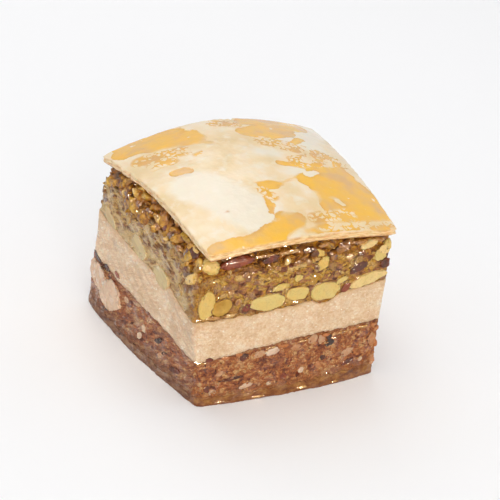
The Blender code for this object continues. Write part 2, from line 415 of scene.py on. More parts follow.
def grown(piece, tree, **inputs):
    """The piece as its Geometry Nodes make it, as a plain mesh. Inputs are named as in the tree."""
    growth = piece.modifiers.new("growth", "NODES")
    growth.node_group = tree
    for socket in tree.interface.items_tree:
        wanted = inputs.get(socket.name.replace(" ", "_").lower())
        if socket.in_out == "INPUT" and wanted is not None:
            growth[socket.identifier] = wanted
    bpy.context.view_layer.update()
    evaluated = piece.evaluated_get(bpy.context.evaluated_depsgraph_get())
    made = bpy.data.meshes.new_from_object(evaluated)
    piece.modifiers.remove(growth)
    settle(piece, made, inputs["material"])
    return piece


cut_face_relief = relief_tree()


def new_material(name, *reads):
    """A Principled material with its tree and its shader, and then each thing that it reads.

    It reads its place on the piece, or values that are stored for the piece's points.
    """
    material = bpy.data.materials.new(name)
    material.use_nodes = True
    tree = material.node_tree
    found = [material, tree, tree.nodes["Principled BSDF"]]
    for value in reads:
        if value == "place":
            found.append(add(tree, "ShaderNodeTexCoord").outputs["Object"])
        else:
            stored = add(tree, "ShaderNodeAttribute", attribute_name=value)
            found.append(stored.outputs["Vector" if value == "grain" else "Fac"])
    return found


def syrup_film(tree, shader, wet, size):
    """Wets a material with patches of clear syrup, whose surface ripples at this size."""
    place = add(tree, "ShaderNodeTexCoord").outputs["Object"]
    patches = add(tree, "ShaderNodeTexNoise", {"Vector": place, "Scale": 1 / (1.7 * MM), "Detail": 3.0})
    film = add(
        tree,
        "ShaderNodeMapRange",
        {"Value": patches.outputs[0], "From Min": 0.62 - 0.3 * wet, "From Max": 0.70 - 0.3 * wet},
    )
    ripples = add(tree, "ShaderNodeTexNoise", {"Vector": place, "Scale": 1 / size, "Detail": 1.5})
    surface = add(
        tree,
        "ShaderNodeBump",
        {"Height": ripples.outputs[0], "Strength": 1.0, "Distance": 0.24 * size},
    )
    coat = {"Coat Weight": film.outputs[0], "Coat Normal": surface.outputs[0], "Coat Roughness": 0.04}
    plug(tree, shader, {**coat, "Coat IOR": 1.4, "Specular IOR Level": 0.12})


def tinted(tree, colour, tint, value, none_at, full_at, most=1.0, where=()):
    """Lays a tint over a colour: none of it at one value, and the most at another.

    How much there is is also multiplied by each of the values in where.
    """
    share = add(
        tree, "ShaderNodeMapRange", {"Value": value, "From Min": none_at, "From Max": full_at, "To Max": most}
    ).outputs[0]
    for factor in where:
        share = add(tree, "ShaderNodeMath", {0: share, 1: factor}, operation="MULTIPLY").outputs[0]
    return add(tree, "ShaderNodeMix", {0: share, 6: colour, 7: linear(tint)}, data_type="RGBA").outputs[2]


FLOOR = np.zeros(COLUMNS)
soaked_top = ragged(edge_height("bottom_pastry"), 0.40 * MM, 1.8 * MM, 3.0)
brown_top = ragged(edge_height("brown_nut_layer"), 0.30 * MM, 1.8 * MM, 7.0)
pale_top = ragged(edge_height("pale_nut_layer"), 0.22 * MM, 2.4 * MM, 11.0)
lid_underside = edge_height("top_pastry", upward=True)


def soaked_phyllo():
    """Syrup-soaked phyllo: glassy tan to olive brown, darkest along the line where it stood, with painted shade
    on the left face.
    """
    material, tree, shader, grain, rise, dragged = new_material(
        "syrup_soaked_phyllo", "grain", "rise", "dragged"
    )
    bands = add(
        tree, "ShaderNodeTexNoise", {"Vector": grain, "Scale": 1 / (1.8 * MM), "Detail": 6.0, "Roughness": 0.7}
    ).outputs[0]
    colour = add(
        tree,
        "ShaderNodeValToRGB",
        {0: bands},
        stops=((0.32, "#5c2e16"), (0.44, "#844c26"), (0.56, "#a06a34"), (0.70, "#b8864c")),
    ).outputs[0]
    colour = tinted(tree, colour, "#80482c", rise, 0.3, 0.04, 0.7)
    # Painted shade: the left face is darker and greyer.
    colour = tinted(tree, colour, "#5a3220", dragged, 0.0, 1.0, 0.2)
    left = add(tree, "ShaderNodeMath", {0: dragged, 1: -0.2, 2: 1.0}, operation="MULTIPLY_ADD")
    dulled = add(tree, "ShaderNodeHueSaturation", {"Color": colour, "Saturation": left.outputs[0]})
    bump = add(tree, "ShaderNodeBump", {"Height": bands, "Strength": 0.9, "Distance": 0.3 * MM})
    syrup_film(tree, shader, 0.4, 0.8 * MM)
    clear = {"Subsurface Weight": 0.1, "Subsurface Scale": 1.0 * MM, "Subsurface Radius": (1.0, 0.5, 0.25)}
    plug(tree, shader, {"Base Color": dulled.outputs[0], "Roughness": 0.45, "Normal": bump.outputs[0], **clear})
    return material


soaked_pastry = cut_layer("soaked_bottom_pastry", FLOOR, soaked_top)
grown(
    soaked_pastry,
    cut_face_relief,
    lump_size=2.5 * MM,
    lump_depth=0.5 * MM,
    grain_size=1.2 * MM,
    grain_depth=0.10 * MM,
    coarse_depth=0.0,
    flattening=1.5,
    front=front_plane,
    material=soaked_phyllo(),
)
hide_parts("bottom_pastry")
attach(soaked_pastry, "root")

# Brown nut layer
# Ground nuts with their skins on, cooked in sugar and pressed down. The cut shows red-brown paste
# with darker specks of skin and paler bits of nut.


def speckled(tree, below, place, size, share, radius, colour):
    """Lays ragged specks over a colour. A share of the cells of this size hold one."""
    shake = add(tree, "ShaderNodeTexNoise", {"Vector": place, "Scale": 1.6 / size, "Detail": 2.0})
    ragged_place = add(
        tree,
        "ShaderNodeVectorMath",
        {0: shake.outputs["Color"], 1: (0.7 * size,) * 3, 2: place},
        operation="MULTIPLY_ADD",
    )
    cells = add(
        tree,
        "ShaderNodeTexVoronoi",
        {"Vector": ragged_place.outputs[0], "Scale": 1 / size},
        feature="F1",
    )
    luck = add(tree, "ShaderNodeSeparateColor", {0: cells.outputs["Color"]})
    held = add(tree, "ShaderNodeMath", {0: luck.outputs[0], 1: share}, operation="LESS_THAN")
    reach = add(
        tree,
        "ShaderNodeMapRange",
        {"Value": luck.outputs[1], "To Min": 0.5 * radius, "To Max": radius},
    )
    outside = add(
        tree,
        "ShaderNodeMath",
        {0: cells.outputs["Distance"], 1: reach.outputs[0]},
        operation="SUBTRACT",
    )
    inside = add(
        tree,
        "ShaderNodeMapRange",
        {"Value": outside.outputs[0], "From Min": -0.05, "From Max": 0.05, "To Min": 1.0, "To Max": 0.0},
    )
    cover = add(tree, "ShaderNodeMath", {0: inside.outputs[0], 1: held.outputs[0]}, operation="MULTIPLY")
    return add(
        tree, "ShaderNodeMix", {0: cover.outputs[0], 6: below, 7: linear(colour)}, data_type="RGBA"
    ).outputs[2]


def shaded_and_dragged_over(tree, colour, crumbs, share):
    """On the left face greys a colour a little, as painted shade, and smears over it pale crumbs that the knife
    dragged along.
    """
    place = add(tree, "ShaderNodeTexCoord").outputs["Object"]
    dragged = add(tree, "ShaderNodeAttribute", attribute_name="dragged").outputs["Fac"]
    drawn_out = add(
        tree,
        "ShaderNodeMapping",
        {"Vector": place, "Rotation": (0.32, 0, 0), "Scale": (2, 4, 0.8)},
        vector_type="TEXTURE",
    )
    streaks = add(
        tree,
        "ShaderNodeTexNoise",
        {"Vector": drawn_out.outputs[0], "Scale": 1 / (1.1 * MM), "Detail": 4.0, "Roughness": 0.55},
    )
    # Painted shade: the left face is greyed a little.
    left = add(tree, "ShaderNodeMath", {0: dragged, 1: -0.08, 2: 1.0}, operation="MULTIPLY_ADD")
    dulled = add(tree, "ShaderNodeHueSaturation", {"Color": colour, "Saturation": left.outputs[0]})
    return tinted(tree, dulled.outputs[0], crumbs, streaks.outputs[0], 0.49, 0.60, share, where=(dragged,))


def crumbs(tree, place, size):
    """Breaks a place up into crumbs: a number for each one, and how far inside it a point is."""
    shake = add(tree, "ShaderNodeTexNoise", {"Vector": place, "Scale": 1.5 / size, "Detail": 3.0})
    shaken = add(
        tree,
        "ShaderNodeVectorMath",
        {0: shake.outputs["Color"], 1: (0.8 * size,) * 3, 2: place},
        operation="MULTIPLY_ADD",
    )
    cells = add(tree, "ShaderNodeTexVoronoi", {"Vector": shaken.outputs[0], "Scale": 1 / size}, feature="F1")
    luck = add(tree, "ShaderNodeSeparateColor", {0: cells.outputs["Color"]})
    edges = add(
        tree,
        "ShaderNodeTexVoronoi",
        {"Vector": shaken.outputs[0], "Scale": 1 / size},
        feature="DISTANCE_TO_EDGE",
    )
    inside = add(tree, "ShaderNodeMapRange", {"Value": edges.outputs["Distance"], "From Max": 0.22})
    return luck.outputs[0], inside.outputs[0]


def mixture(tree, *parts):
    """The sum of several values, each given with its share."""
    total = 0.0
    for value, share in parts:
        summed = {0: value, 1: share, 2: total}
        total = add(tree, "ShaderNodeMath", summed, operation="MULTIPLY_ADD").outputs[0]
    return total


def brown_paste():
    """Ground nuts with skins: moist mottled red-brown, with wine-dark specks and tan bits of nut."""
    material, tree, shader, grain, rise, dragged = new_material(
        "ground_brown_nut_paste", "grain", "rise", "dragged"
    )
    broad = add(
        tree, "ShaderNodeTexNoise", {"Vector": grain, "Scale": 1 / (3.6 * MM), "Detail": 3.0}
    ).outputs[0]
    fine = add(
        tree, "ShaderNodeTexNoise", {"Vector": grain, "Scale": 1 / (0.9 * MM), "Detail": 6.0, "Roughness": 0.7}
    ).outputs[0]
    luck, inside = crumbs(tree, grain, 0.6 * MM)
    colour = add(
        tree,
        "ShaderNodeValToRGB",
        {0: mixture(tree, (fine, 1.0), (broad, 0.55), (luck, 0.22))},
        stops=((0.66, "#693224"), (0.78, "#985331"), (0.88, "#b66a38"), (0.98, "#c8844c"), (1.1, "#d6a26a")),
    ).outputs[0]
    colour = tinted(tree, colour, "#a46432", rise, 0.22, 0.0, 0.7)
    colour = tinted(tree, colour, "#6e4430", rise, 0.4, 0.05, 0.5, where=(dragged,))
    colour = tinted(tree, colour, "#753f2c", inside, 0.7, 0.0, 0.45)
    colour = speckled(tree, colour, grain, 1.5 * MM, 0.35, 0.28, "#bd8455")
    colour = speckled(tree, colour, grain, 2.3 * MM, 0.5, 0.24, "#6c3428")
    colour = speckled(tree, colour, grain, 1.0 * MM, 0.25, 0.26, "#542e20")
    colour = speckled(tree, colour, grain, 3.0 * MM, 0.2, 0.20, "#cfa276")
    colour = tinted(tree, colour, "#8f5632", rise, 0.93, 0.98, 0.6)
    colour = shaded_and_dragged_over(tree, colour, "#96705a", 0.5)
    gloss = add(tree, "ShaderNodeMapRange", {"Value": luck, "To Min": 0.3, "To Max": 0.65}).outputs[0]
    lumpy = mixture(tree, (fine, 1.0), (inside, 0.35))
    bump = add(tree, "ShaderNodeBump", {"Height": lumpy, "Strength": 1.0, "Distance": 0.3 * MM})
    syrup_film(tree, shader, 0.35, 0.5 * MM)
    clear = {"Subsurface Weight": 0.08, "Subsurface Scale": 0.6 * MM}
    plug(tree, shader, {"Base Color": colour, "Roughness": gloss, "Normal": bump.outputs[0], **clear})
    return material


brown_layer = cut_layer("brown_nut_paste", soaked_top, brown_top)
grown(
    brown_layer,
    cut_face_relief,
    lump_size=3.0 * MM,
    lump_depth=0.5 * MM,
    grain_size=0.9 * MM,
    grain_depth=0.20 * MM,
    coarse_depth=0.0,
    flattening=1.2,
    front=front_plane,
    material=brown_paste(),
)
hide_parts("brown_nut_layer")
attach(brown_layer, "root")

# Bits of nut and skin
# The larger bits that the knife cut through or dragged along: blanched nut, waxy and pale, and dark
# skin soaked in syrup. They are set in the two cuts that face the eye, one by one.

# A spot on these cuts is given by how far right of the middle of the front, or how far behind the
# middle of the left face, and by its height above the floor, in mm.
front_columns = (distance_round > 0) & (distance_round < front_length)
left_columns = (distance_round < 0) & (distance_round > -left_length)
mid_reach = reach_at(turns, np.full_like(turns, MID_HEIGHT))


def cut_reach(turn, z):
    """How far the cut stands from the upright axis, for one angle and height."""
    return float(reach_at(np.array([turn]), np.array([z]))[0])


def spot_on(face, across, height):
    """The point of the cut at this place, the way out of it, and the way to the right along it."""
    if face == "front":
        turn = np.interp(across * MM, (mid_reach * np.cos(turns))[front_columns], turns[front_columns])
    else:
        side = np.argsort(turns[left_columns])
        behind = (mid_reach * np.sin(turns))[left_columns][side]
        turn = np.interp(-across * MM, -behind, turns[left_columns][side])
    z = height * MM
    spots = [Vector((cos(t), sin(t), 0)) * cut_reach(t, z) for t in (turn - 0.02, turn + 0.02)]
    right = (spots[1] - spots[0]).normalized()
    spot = (spots[0] + spots[1]) / 2 + Vector((0, 0, z))
    return spot, right.cross(Vector((0, 0, 1))), right


def trimmed(place, proud):
    """A place moved in to stand no further than proud out of the cut, as the knife left it."""
    reach = cut_reach(atan2(place.y, place.x) % tau, place.z) + proud
    out = place.xy.length
    if out > reach:
        return Vector((place.x * reach / out, place.y * reach / out, place.z))
    return place


def set_in(name, bits, material):
    """One piece of many bits of nut set in the cuts, each lumpy and cut off nearly flush.

    Each bit is its face, its place across and up, its length, its width, its tilt in degrees,
    how proud it stands and its tone, in mm.
    """
    shape = bmesh.new()
    tones = []
    for number, (face, across, height, length, width, tilt, proud, tone) in enumerate(bits):
        spot, out, right = spot_on(face, across, height)
        turned = Matrix.Rotation(radians(tilt), 3, out)
        along, upward = turned @ right, turned @ Vector((0, 0, 1))
        deep = min(length, width) * 0.8
        grown_bit = bmesh.ops.create_icosphere(shape, subdivisions=4, radius=0.5)
        for vertex in grown_bit["verts"]:
            direction = vertex.co.normalized()
            lumps = 1 + 0.30 * noise.noise(direction * 1.2 + Vector((number * 5.3, 0, 0)))
            lumps += 0.22 * noise.noise(direction * 3.0 + Vector((0, number * 3.1, 0)))
            lumps += 0.12 * noise.noise(direction * 7.0 + Vector((0, 0, number * 3.7)))
            local = vertex.co * lumps
            place = spot + (along * local.x * length + upward * local.y * width + out * local.z * deep) * MM
            ripple = 0.12 * noise.noise(place / (0.7 * MM))
            vertex.co = trimmed(place, (proud + ripple) * MM)
            tones.append(tone)
    bmesh.ops.recalc_face_normals(shape, faces=shape.faces)
    mesh = bpy.data.meshes.new(name)
    shape.to_mesh(mesh)
    shape.free()
    piece = placed(name, mesh, material)
    set_values(piece, "tone", tones)
    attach(piece, "root")
    return piece


def bit_of_nut(name, stops, roughness, wet):
    """A bit of nut cut through: waxy, a little clouded, and of the tone of its kind."""
    material, tree, shader, place, tone = new_material(name, "place", "tone")
    clouds = add(
        tree, "ShaderNodeTexNoise", {"Vector": place, "Scale": 1 / (1.1 * MM), "Detail": 4.0}
    ).outputs[0]
    mixed = mixture(tree, (tone, 1.0), (clouds, 0.8), (-0.5, 0.8))
    colour = add(tree, "ShaderNodeValToRGB", {0: mixed}, stops=stops).outputs[0]
    bump = add(tree, "ShaderNodeBump", {"Height": clouds, "Strength": 0.8, "Distance": 0.35 * MM})
    syrup_film(tree, shader, wet, 1.1 * MM)
    clear = {"Subsurface Weight": 0.15, "Subsurface Scale": 0.8 * MM}
    plug(tree, shader, {"Base Color": colour, "Roughness": roughness, "Normal": bump.outputs[0], **clear})
    return material


set_in(
    "pale_bits_of_nut",
    (
        ("front", -5.5, 9.1, 2.7, 1.3, 8, 0.10, 0.95),
        ("front", -1.0, 9.2, 1.9, 1.3, 0, 0.10, 0.35),
        ("front", -8.0, 9.0, 2.0, 1.3, 10, 0.06, 0.55),
        ("front", 2.4, 10.2, 2.0, 1.6, 20, 0.06, 0.55),
        ("front", 4.2, 9.8, 1.4, 1.7, 0, 0.06, 0.60),
        ("front", -10.0, 3.1, 2.5, 0.9, 14, 0.06, 0.80),
        ("front", 10.0, 6.1, 2.7, 1.5, 10, 0.03, 0.55),
        ("front", 4.0, 4.7, 1.0, 1.5, 20, 0.08, 0.25),
        ("front", 0.6, 4.3, 1.1, 0.9, 30, 0.08, 0.90),
        ("front", -16.3, 2.7, 1.4, 1.2, 0, 0.06, 0.65),
        ("front", 13.2, 3.9, 1.0, 0.8, 0, 0.08, 0.80),
        ("front", -15.2, 6.2, 1.8, 0.8, 15, 0.03, 0.45),
        ("front", -5.6, 2.9, 0.8, 0.7, 0, 0.06, 0.85),
        ("front", 15.6, 7.5, 1.8, 2.6, 20, 0.12, 0.35),
        ("front", 16.6, 3.6, 2.2, 1.6, 0, 0.12, 0.30),
        ("front", 18.2, 2.6, 1.6, 1.2, 0, 0.45, 0.30),
        ("front", 18.2, 6.2, 1.4, 1.4, 0, 0.40, 0.15),
        ("front", 18.2, 9.4, 1.6, 1.0, 0, 0.35, 0.20),
        ("front", -14.5, 9.2, 1.6, 0.7, 0, 0.22, 0.12),
        ("front", -12.0, 9.5, 1.3, 0.6, 0, 0.22, 0.20),
        ("front", -3.2, 9.9, 1.5, 0.7, 0, 0.22, 0.10),
        ("front", 5.0, 10.5, 1.7, 0.7, 0, 0.22, 0.12),
        ("front", 10.8, 10.6, 1.5, 0.6, 0, 0.22, 0.20),
        ("front", 15.6, 10.5, 1.5, 0.7, 0, 0.28, 0.15),
        ("left", -2.0, 4.4, 1.8, 1.1, 40, 0.05, 0.92),
        ("left", -3.0, 6.3, 1.3, 1.5, 10, 0.05, 0.90),
        ("left", 4.0, 8.4, 1.6, 1.0, 0, 0.04, 0.80),
        ("left", -9.0, 4.2, 1.5, 0.9, 30, 0.04, 0.60),
        ("left", 9.0, 3.4, 1.8, 0.8, 10, 0.03, 0.50),
        ("left", 15.8, 7.6, 8.5, 4.6, -4, 0.42, 0.92),
        ("left", 9.6, 6.4, 7.2, 5.8, 16, 0.48, 0.95),
    ),
    bit_of_nut(
        "blanched_bit_of_nut",
        ((0.15, "#b9713e"), (0.4, "#bf885c"), (0.7, "#c9a080"), (0.95, "#dfbfa2")),
        0.5,
        0.3,
    ),
)
set_in(
    "dark_bits_of_skin",
    (
        ("front", 6.0, 8.8, 1.9, 1.1, 15, 0.05, 0.05),
        ("front", 5.8, 9.9, 1.0, 1.2, 0, 0.05, 0.15),
        ("front", -2.2, 6.7, 1.4, 1.2, 0, 0.05, 0.45),
        ("front", -2.8, 3.8, 1.3, 1.1, 0, 0.05, 0.50),
        ("front", 0.0, 3.6, 0.8, 1.1, 0, 0.03, 0.45),
        ("front", -16.8, 3.3, 2.2, 1.3, 0, 0.03, 0.45),
        ("front", -11.0, 8.9, 1.8, 1.3, 10, 0.08, 0.35),
        ("front", -17.5, 9.2, 1.3, 0.8, 0, 0.08, 0.45),
        ("front", 10.4, 4.0, 2.4, 0.9, 20, 0.03, 0.40),
        ("front", 4.8, 6.1, 1.1, 1.0, 0, 0.06, 0.20),
        ("front", 17.0, 3.4, 1.5, 0.7, 0, 0.10, 0.05),
        ("front", -13.0, 4.9, 4.6, 0.6, 6, 0.02, 0.30),
        ("front", -11.6, 18.4, 1.6, 1.2, 20, 0.05, 0.55),
        ("front", 8.2, 19.3, 2.0, 1.3, 35, 0.06, 0.60),
        ("front", -8.0, 26.9, 3.0, 1.2, 15, 0.10, 0.40),
        ("front", 10.5, 22.9, 3.6, 1.5, 22, 0.10, 0.35),
        ("front", 16.1, 22.8, 2.2, 1.8, 10, 0.25, 0.40),
        ("front", -14.6, 27.0, 5.6, 1.8, 12, 0.55, 0.60),
        ("left", 16.8, 10.4, 5.4, 0.9, -12, 0.10, 0.25),
        ("left", 18.8, 10.2, 1.6, 1.4, -30, 0.05, 0.60),
        ("left", 13.0, 10.4, 2.4, 1.3, 0, 0.03, 0.15),
        ("left", 8.6, 11.2, 2.0, 0.9, -10, 0.05, 0.70),
        ("left", -8.0, 6.6, 2.6, 0.9, 30, 0.03, 0.12),
        ("left", -10.5, 5.2, 2.0, 0.7, 20, 0.03, 0.15),
        ("left", 10.6, 3.0, 2.4, 0.7, 20, 0.03, 0.20),
        ("left", -14.0, 3.6, 3.0, 1.0, 15, 0.03, 0.40),
        ("left", 13.5, 27.9, 2.2, 1.6, 0, 0.35, 0.40),
        ("left", -16.0, 27.4, 3.4, 1.8, 10, 0.30, 0.35),
        ("left", -5.5, 27.3, 2.2, 0.9, 30, 0.30, 0.40),
    ),
    bit_of_nut(
        "wine_dark_skin",
        ((0.05, "#30160c"), (0.3, "#522410"), (0.55, "#7c2c06"), (0.8, "#9c4408")),
        0.5,
        1.0,
    ),
)

# Pale nut layer
# Finely ground blanched nuts and sugar, rolled flat. It is the smoothest layer: peach-cream, with
# a sugary grain.


def pale_paste():
    """Blanched nuts ground with sugar: peach-cream, with a fine sugary mottle, and tiny glints, partly painted
    as near-white specks.
    """
    material, tree, shader, grain, rise = new_material("blanched_nut_paste", "grain", "rise")
    broad = add(
        tree, "ShaderNodeTexNoise", {"Vector": grain, "Scale": 1 / (2.4 * MM), "Detail": 3.0}
    ).outputs[0]
    fine = add(
        tree, "ShaderNodeTexNoise", {"Vector": grain, "Scale": 1 / (0.5 * MM), "Detail": 5.0, "Roughness": 0.6}
    ).outputs[0]
    luck, inside = crumbs(tree, grain, 0.42 * MM)
    colour = add(
        tree,
        "ShaderNodeValToRGB",
        {0: mixture(tree, (0.25, 1.0), (broad, 0.5), (fine, 0.5), (luck, 0.16))},
        stops=((0.62, "#d6aa80"), (0.76, "#e6c198"), (0.88, "#f0d2ac"), (1.0, "#f7e2c4")),
    ).outputs[0]
    colour = tinted(tree, colour, "#cda078", inside, 0.7, 0.0, 0.32)
    colour = speckled(tree, colour, grain, 1.4 * MM, 0.25, 0.18, "#f6e6cf")
    # Near-white specks: sugar grains, and partly painted glints.
    colour = speckled(tree, colour, grain, 0.7 * MM, 0.25, 0.24, "#fff3e0")
    colour = speckled(tree, colour, grain, 2.4 * MM, 0.2, 0.12, "#c8966c")
    colour = tinted(tree, colour, "#d9a86c", rise, 0.86, 1.0, 0.55)
    colour = tinted(tree, colour, "#c09672", rise, 0.08, 0.0, 0.5)
    colour = shaded_and_dragged_over(tree, colour, "#c9a888", 0.5)
    gloss = add(tree, "ShaderNodeMapRange", {"Value": luck, "To Min": 0.35, "To Max": 0.65}).outputs[0]
    lumpy = mixture(tree, (fine, 1.0), (inside, 0.3))
    bump = add(tree, "ShaderNodeBump", {"Height": lumpy, "Strength": 0.8, "Distance": 0.2 * MM})
    syrup_film(tree, shader, 0.3, 0.35 * MM)
    clear = {"Subsurface Weight": 0.15, "Subsurface Scale": 0.8 * MM}
    plug(tree, shader, {"Base Color": colour, "Roughness": gloss, "Normal": bump.outputs[0], **clear})
    return material


pale_layer = cut_layer("pale_nut_paste", brown_top, pale_top)
grown(
    pale_layer,
    cut_face_relief,
    lump_size=3.0 * MM,
    lump_depth=0.30 * MM,
    grain_size=0.8 * MM,
    grain_depth=0.06 * MM,
    coarse_depth=0.0,
    flattening=1.2,
    front=front_plane,
    material=pale_paste(),
)
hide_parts("pale_nut_layer")
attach(pale_layer, "root")

# Pistachio layer
# Chopped pistachios bound with syrup: a mosaic of cut fragments below, and coarse glossy nuts with
# dark hollows between them under the lid.


def pistachio_mash():
    """Chopped pistachios in syrup: mauve-brown skins and olive-tan nut, smeared by the knife.

    Where it was dragged, pale chalky crumbs cover its foot and dark hollows show above them.
    """
    material, tree, shader, *read = new_material(
        "chopped_pistachio_in_syrup", "grain", "coarse", "stained", "rise", "dragged"
    )
    grain, coarse, stained, rise, dragged = read
    broad = add(
        tree,
        "ShaderNodeTexNoise",
        {"Vector": grain, "Scale": 1 / (2.4 * MM), "Detail": 5.0, "Roughness": 0.6, "Distortion": 0.8},
    ).outputs[0]
    fine = add(
        tree, "ShaderNodeTexNoise", {"Vector": grain, "Scale": 1 / (0.6 * MM), "Detail": 5.0, "Roughness": 0.7}
    ).outputs[0]
    luck, inside = crumbs(tree, grain, 1.2 * MM)
    colour = add(
        tree,
        "ShaderNodeValToRGB",
        {0: mixture(tree, (broad, 1.0), (fine, 0.4), (luck, 0.18))},
        stops=(
            (0.60, "#5e2e16"),
            (0.68, "#955a38"),
            (0.75, "#b77a48"),
            (0.81, "#c08a2c"),
            (0.88, "#cc9a38"),
            (0.98, "#e4ba70"),
        ),
    ).outputs[0]
    colour = tinted(tree, colour, "#6b3a1e", inside, 0.7, 0.0, 0.35)
    colour = speckled(tree, colour, grain, 2.6 * MM, 0.4, 0.34, "#7a4028")
    colour = speckled(tree, colour, grain, 1.1 * MM, 0.3, 0.26, "#5a2e14")
    colour = speckled(tree, colour, grain, 1.6 * MM, 0.3, 0.26, "#cfa655")
    syrup = add(
        tree,
        "ShaderNodeValToRGB",
        {0: fine},
        stops=((0.35, "#8f5512"), (0.5, "#b27720"), (0.65, "#c69a4a")),
    ).outputs[0]
    colour = add(tree, "ShaderNodeMix", {0: stained, 6: colour, 7: syrup}, data_type="RGBA").outputs[2]
    pits = add(
        tree, "ShaderNodeTexNoise", {"Vector": grain, "Scale": 1 / (0.8 * MM), "Detail": 4.0, "Roughness": 0.7}
    ).outputs[0]
    # Painted shade in the pits of the bump.
    colour = tinted(tree, colour, "#4d2a16", pits, 0.46, 0.36, 0.85)
    streak = add(
        tree,
        "ShaderNodeMapRange",
        {"Value": broad, "From Min": 0.42, "From Max": 0.58, "To Min": 0.2},
    )
    colour = tinted(tree, colour, "#d9bd88", rise, 0.42, 0.02, 0.9, where=(dragged, streak.outputs[0]))
    murky = add(tree, "ShaderNodeMapRange", {"Value": broad, "From Min": 0.53, "From Max": 0.44})
    colour = tinted(tree, colour, "#744602", rise, 0.15, 0.45, 0.9, where=(dragged, murky.outputs[0]))
    # The wall behind the coarse nuts: amber syrup, darkened with painted shade in the hollows.
    hollow_shade = add(
        tree,
        "ShaderNodeValToRGB",
        {0: fine},
        stops=((0.35, "#5e2c04"), (0.47, "#a66408"), (0.6, "#d09016")),
    ).outputs[0]
    colour = add(tree, "ShaderNodeMix", {0: coarse, 6: colour, 7: hollow_shade}, data_type="RGBA").outputs[2]
    colour = shaded_and_dragged_over(tree, colour, "#d6b886", 0.85)
    gloss = add(
        tree,
        "ShaderNodeMapRange",
        {"Value": fine, "From Min": 0.35, "From Max": 0.65, "To Min": 0.3, "To Max": 0.6},
    ).outputs[0]
    lumpy = mixture(tree, (pits, 1.0), (inside, 0.25))
    bump = add(tree, "ShaderNodeBump", {"Height": lumpy, "Strength": 1.0, "Distance": 0.45 * MM})
    syrup_film(tree, shader, 0.45, 1.1 * MM)
    clear = {"Subsurface Weight": 0.08, "Subsurface Scale": 0.8 * MM}
    plug(tree, shader, {"Base Color": colour, "Roughness": gloss, "Normal": bump.outputs[0], **clear})
    return material


kernel_names = sorted(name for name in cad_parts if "_kernel_" in name)
kernels_tree = search_tree(*kernel_names)
COARSE_START = 0.62  # share of the layer's height from which the nuts are coarse
HOLLOW_DEPTH = 0.5 * MM
KERNEL_GROOVE = 0.22 * MM

pistachio_layer = cut_layer("ground_pistachio", pale_top, lid_underside, back_off=0.1 * MM)
places = places_of(pistachio_layer)
wall = numbers_of(pistachio_layer, "wall")
rise = numbers_of(pistachio_layer, "rise")
coarse = smoothstep(COARSE_START, COARSE_START + 0.15, rise) * wall
near_kernel = np.array([(kernels_tree.find_nearest(place, 1.0 * MM)[3] or 1.0 * MM) for place in places])
side = numbers_of(pistachio_layer, "dragged")
groove = KERNEL_GROOVE * smoothstep(0.45 * MM, 0.15 * MM, near_kernel) * wall * (1 - side)
inward = HOLLOW_DEPTH * coarse * (1.6 - 0.6 * side) + groove
lengths = np.linalg.norm(places[:, :2], axis=1)
inward_share = np.where(wall > 0, 1 - inward / np.maximum(lengths, MM), 1)
places[:, :2] *= inward_share[:, None]
pistachio_layer.data.vertices.foreach_set("co", places.ravel())
set_values(pistachio_layer, "coarse", coarse)
along = numbers_of(pistachio_layer, "along")
off_corner = np.where(along < 0, smoothstep(0.5 * MM, 4 * MM, -along), 1)
dragged = (side * (1 - coarse) * off_corner).astype(np.float32)
pistachio_layer.data.attributes["dragged"].data.foreach_set("value", dragged)

# Syrup stained the foot of the layer, and the front up to some way from the near corner.
stain_reach = (along + 3 * MM) / (11 * MM) * (0.5 + (places[:, 2] - 17 * MM) / (7 * MM))
stained = smoothstep(1.0, 0.45, abs(stain_reach)) * smoothstep(-3 * MM, 0, along)
low_syrup = smoothstep(0.20, 0.05, rise)
set_values(pistachio_layer, "stained", np.maximum(0.85 * stained * (coarse < 0.5), 0.6 * low_syrup) * wall)
grown(
    pistachio_layer,
    cut_face_relief,
    lump_size=2.6 * MM,
    lump_depth=0.3 * MM,
    grain_size=1.7 * MM,
    grain_depth=0.25 * MM,
    coarse_depth=0.8 * MM,
    flattening=1.5,
    front=front_plane,
    material=pistachio_mash(),
)
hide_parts("pistachio_layer")
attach(pistachio_layer, "root")

# Cut kernels
# Whole pistachio kernels that lay where the knife passed: a flat yellow-green cut with a thin
# purple-brown skin round it.


def kernel_flesh():
    """A pistachio kernel cut through: waxy yellow-green, smooth and a little glossy."""
    material, tree, shader, place, tone, dragged = new_material(
        "cut_pistachio_kernel", "place", "tone", "dragged"
    )
    clouds = add(
        tree, "ShaderNodeTexNoise", {"Vector": place, "Scale": 1 / (1.6 * MM), "Detail": 4.0}
    ).outputs[0]
    colour = add(
        tree,
        "ShaderNodeValToRGB",
        {0: mixture(tree, (tone, 1.0), (clouds, 0.5))},
        stops=((0.15, "#b08030"), (0.40, "#d8ad54"), (0.60, "#deba6a"), (0.80, "#dbc076"), (1.0, "#e8c888")),
    ).outputs[0]
    fine = add(
        tree, "ShaderNodeTexNoise", {"Vector": place, "Scale": 1 / (0.35 * MM), "Detail": 4.0, "Roughness": 0.6}
    ).outputs[0]
    colour = tinted(tree, colour, "#a9823c", fine, 0.52, 0.72, 0.4)
    colour = tinted(tree, colour, "#cdb98e", dragged, 0.0, 1.0, 0.7)
    colour = shaded_and_dragged_over(tree, colour, "#c6ae84", 1.0)
    lumpy = mixture(tree, (clouds, 1.0), (fine, 0.3))
    bump = add(tree, "ShaderNodeBump", {"Height": lumpy, "Strength": 0.5, "Distance": 0.2 * MM})
    syrup_film(tree, shader, 0.25, 0.8 * MM)
    clear = {"Subsurface Weight": 0.2, "Subsurface Scale": 1.0 * MM}
    plug(tree, shader, {"Base Color": colour, "Roughness": 0.5, "Normal": bump.outputs[0], **clear})
    return material


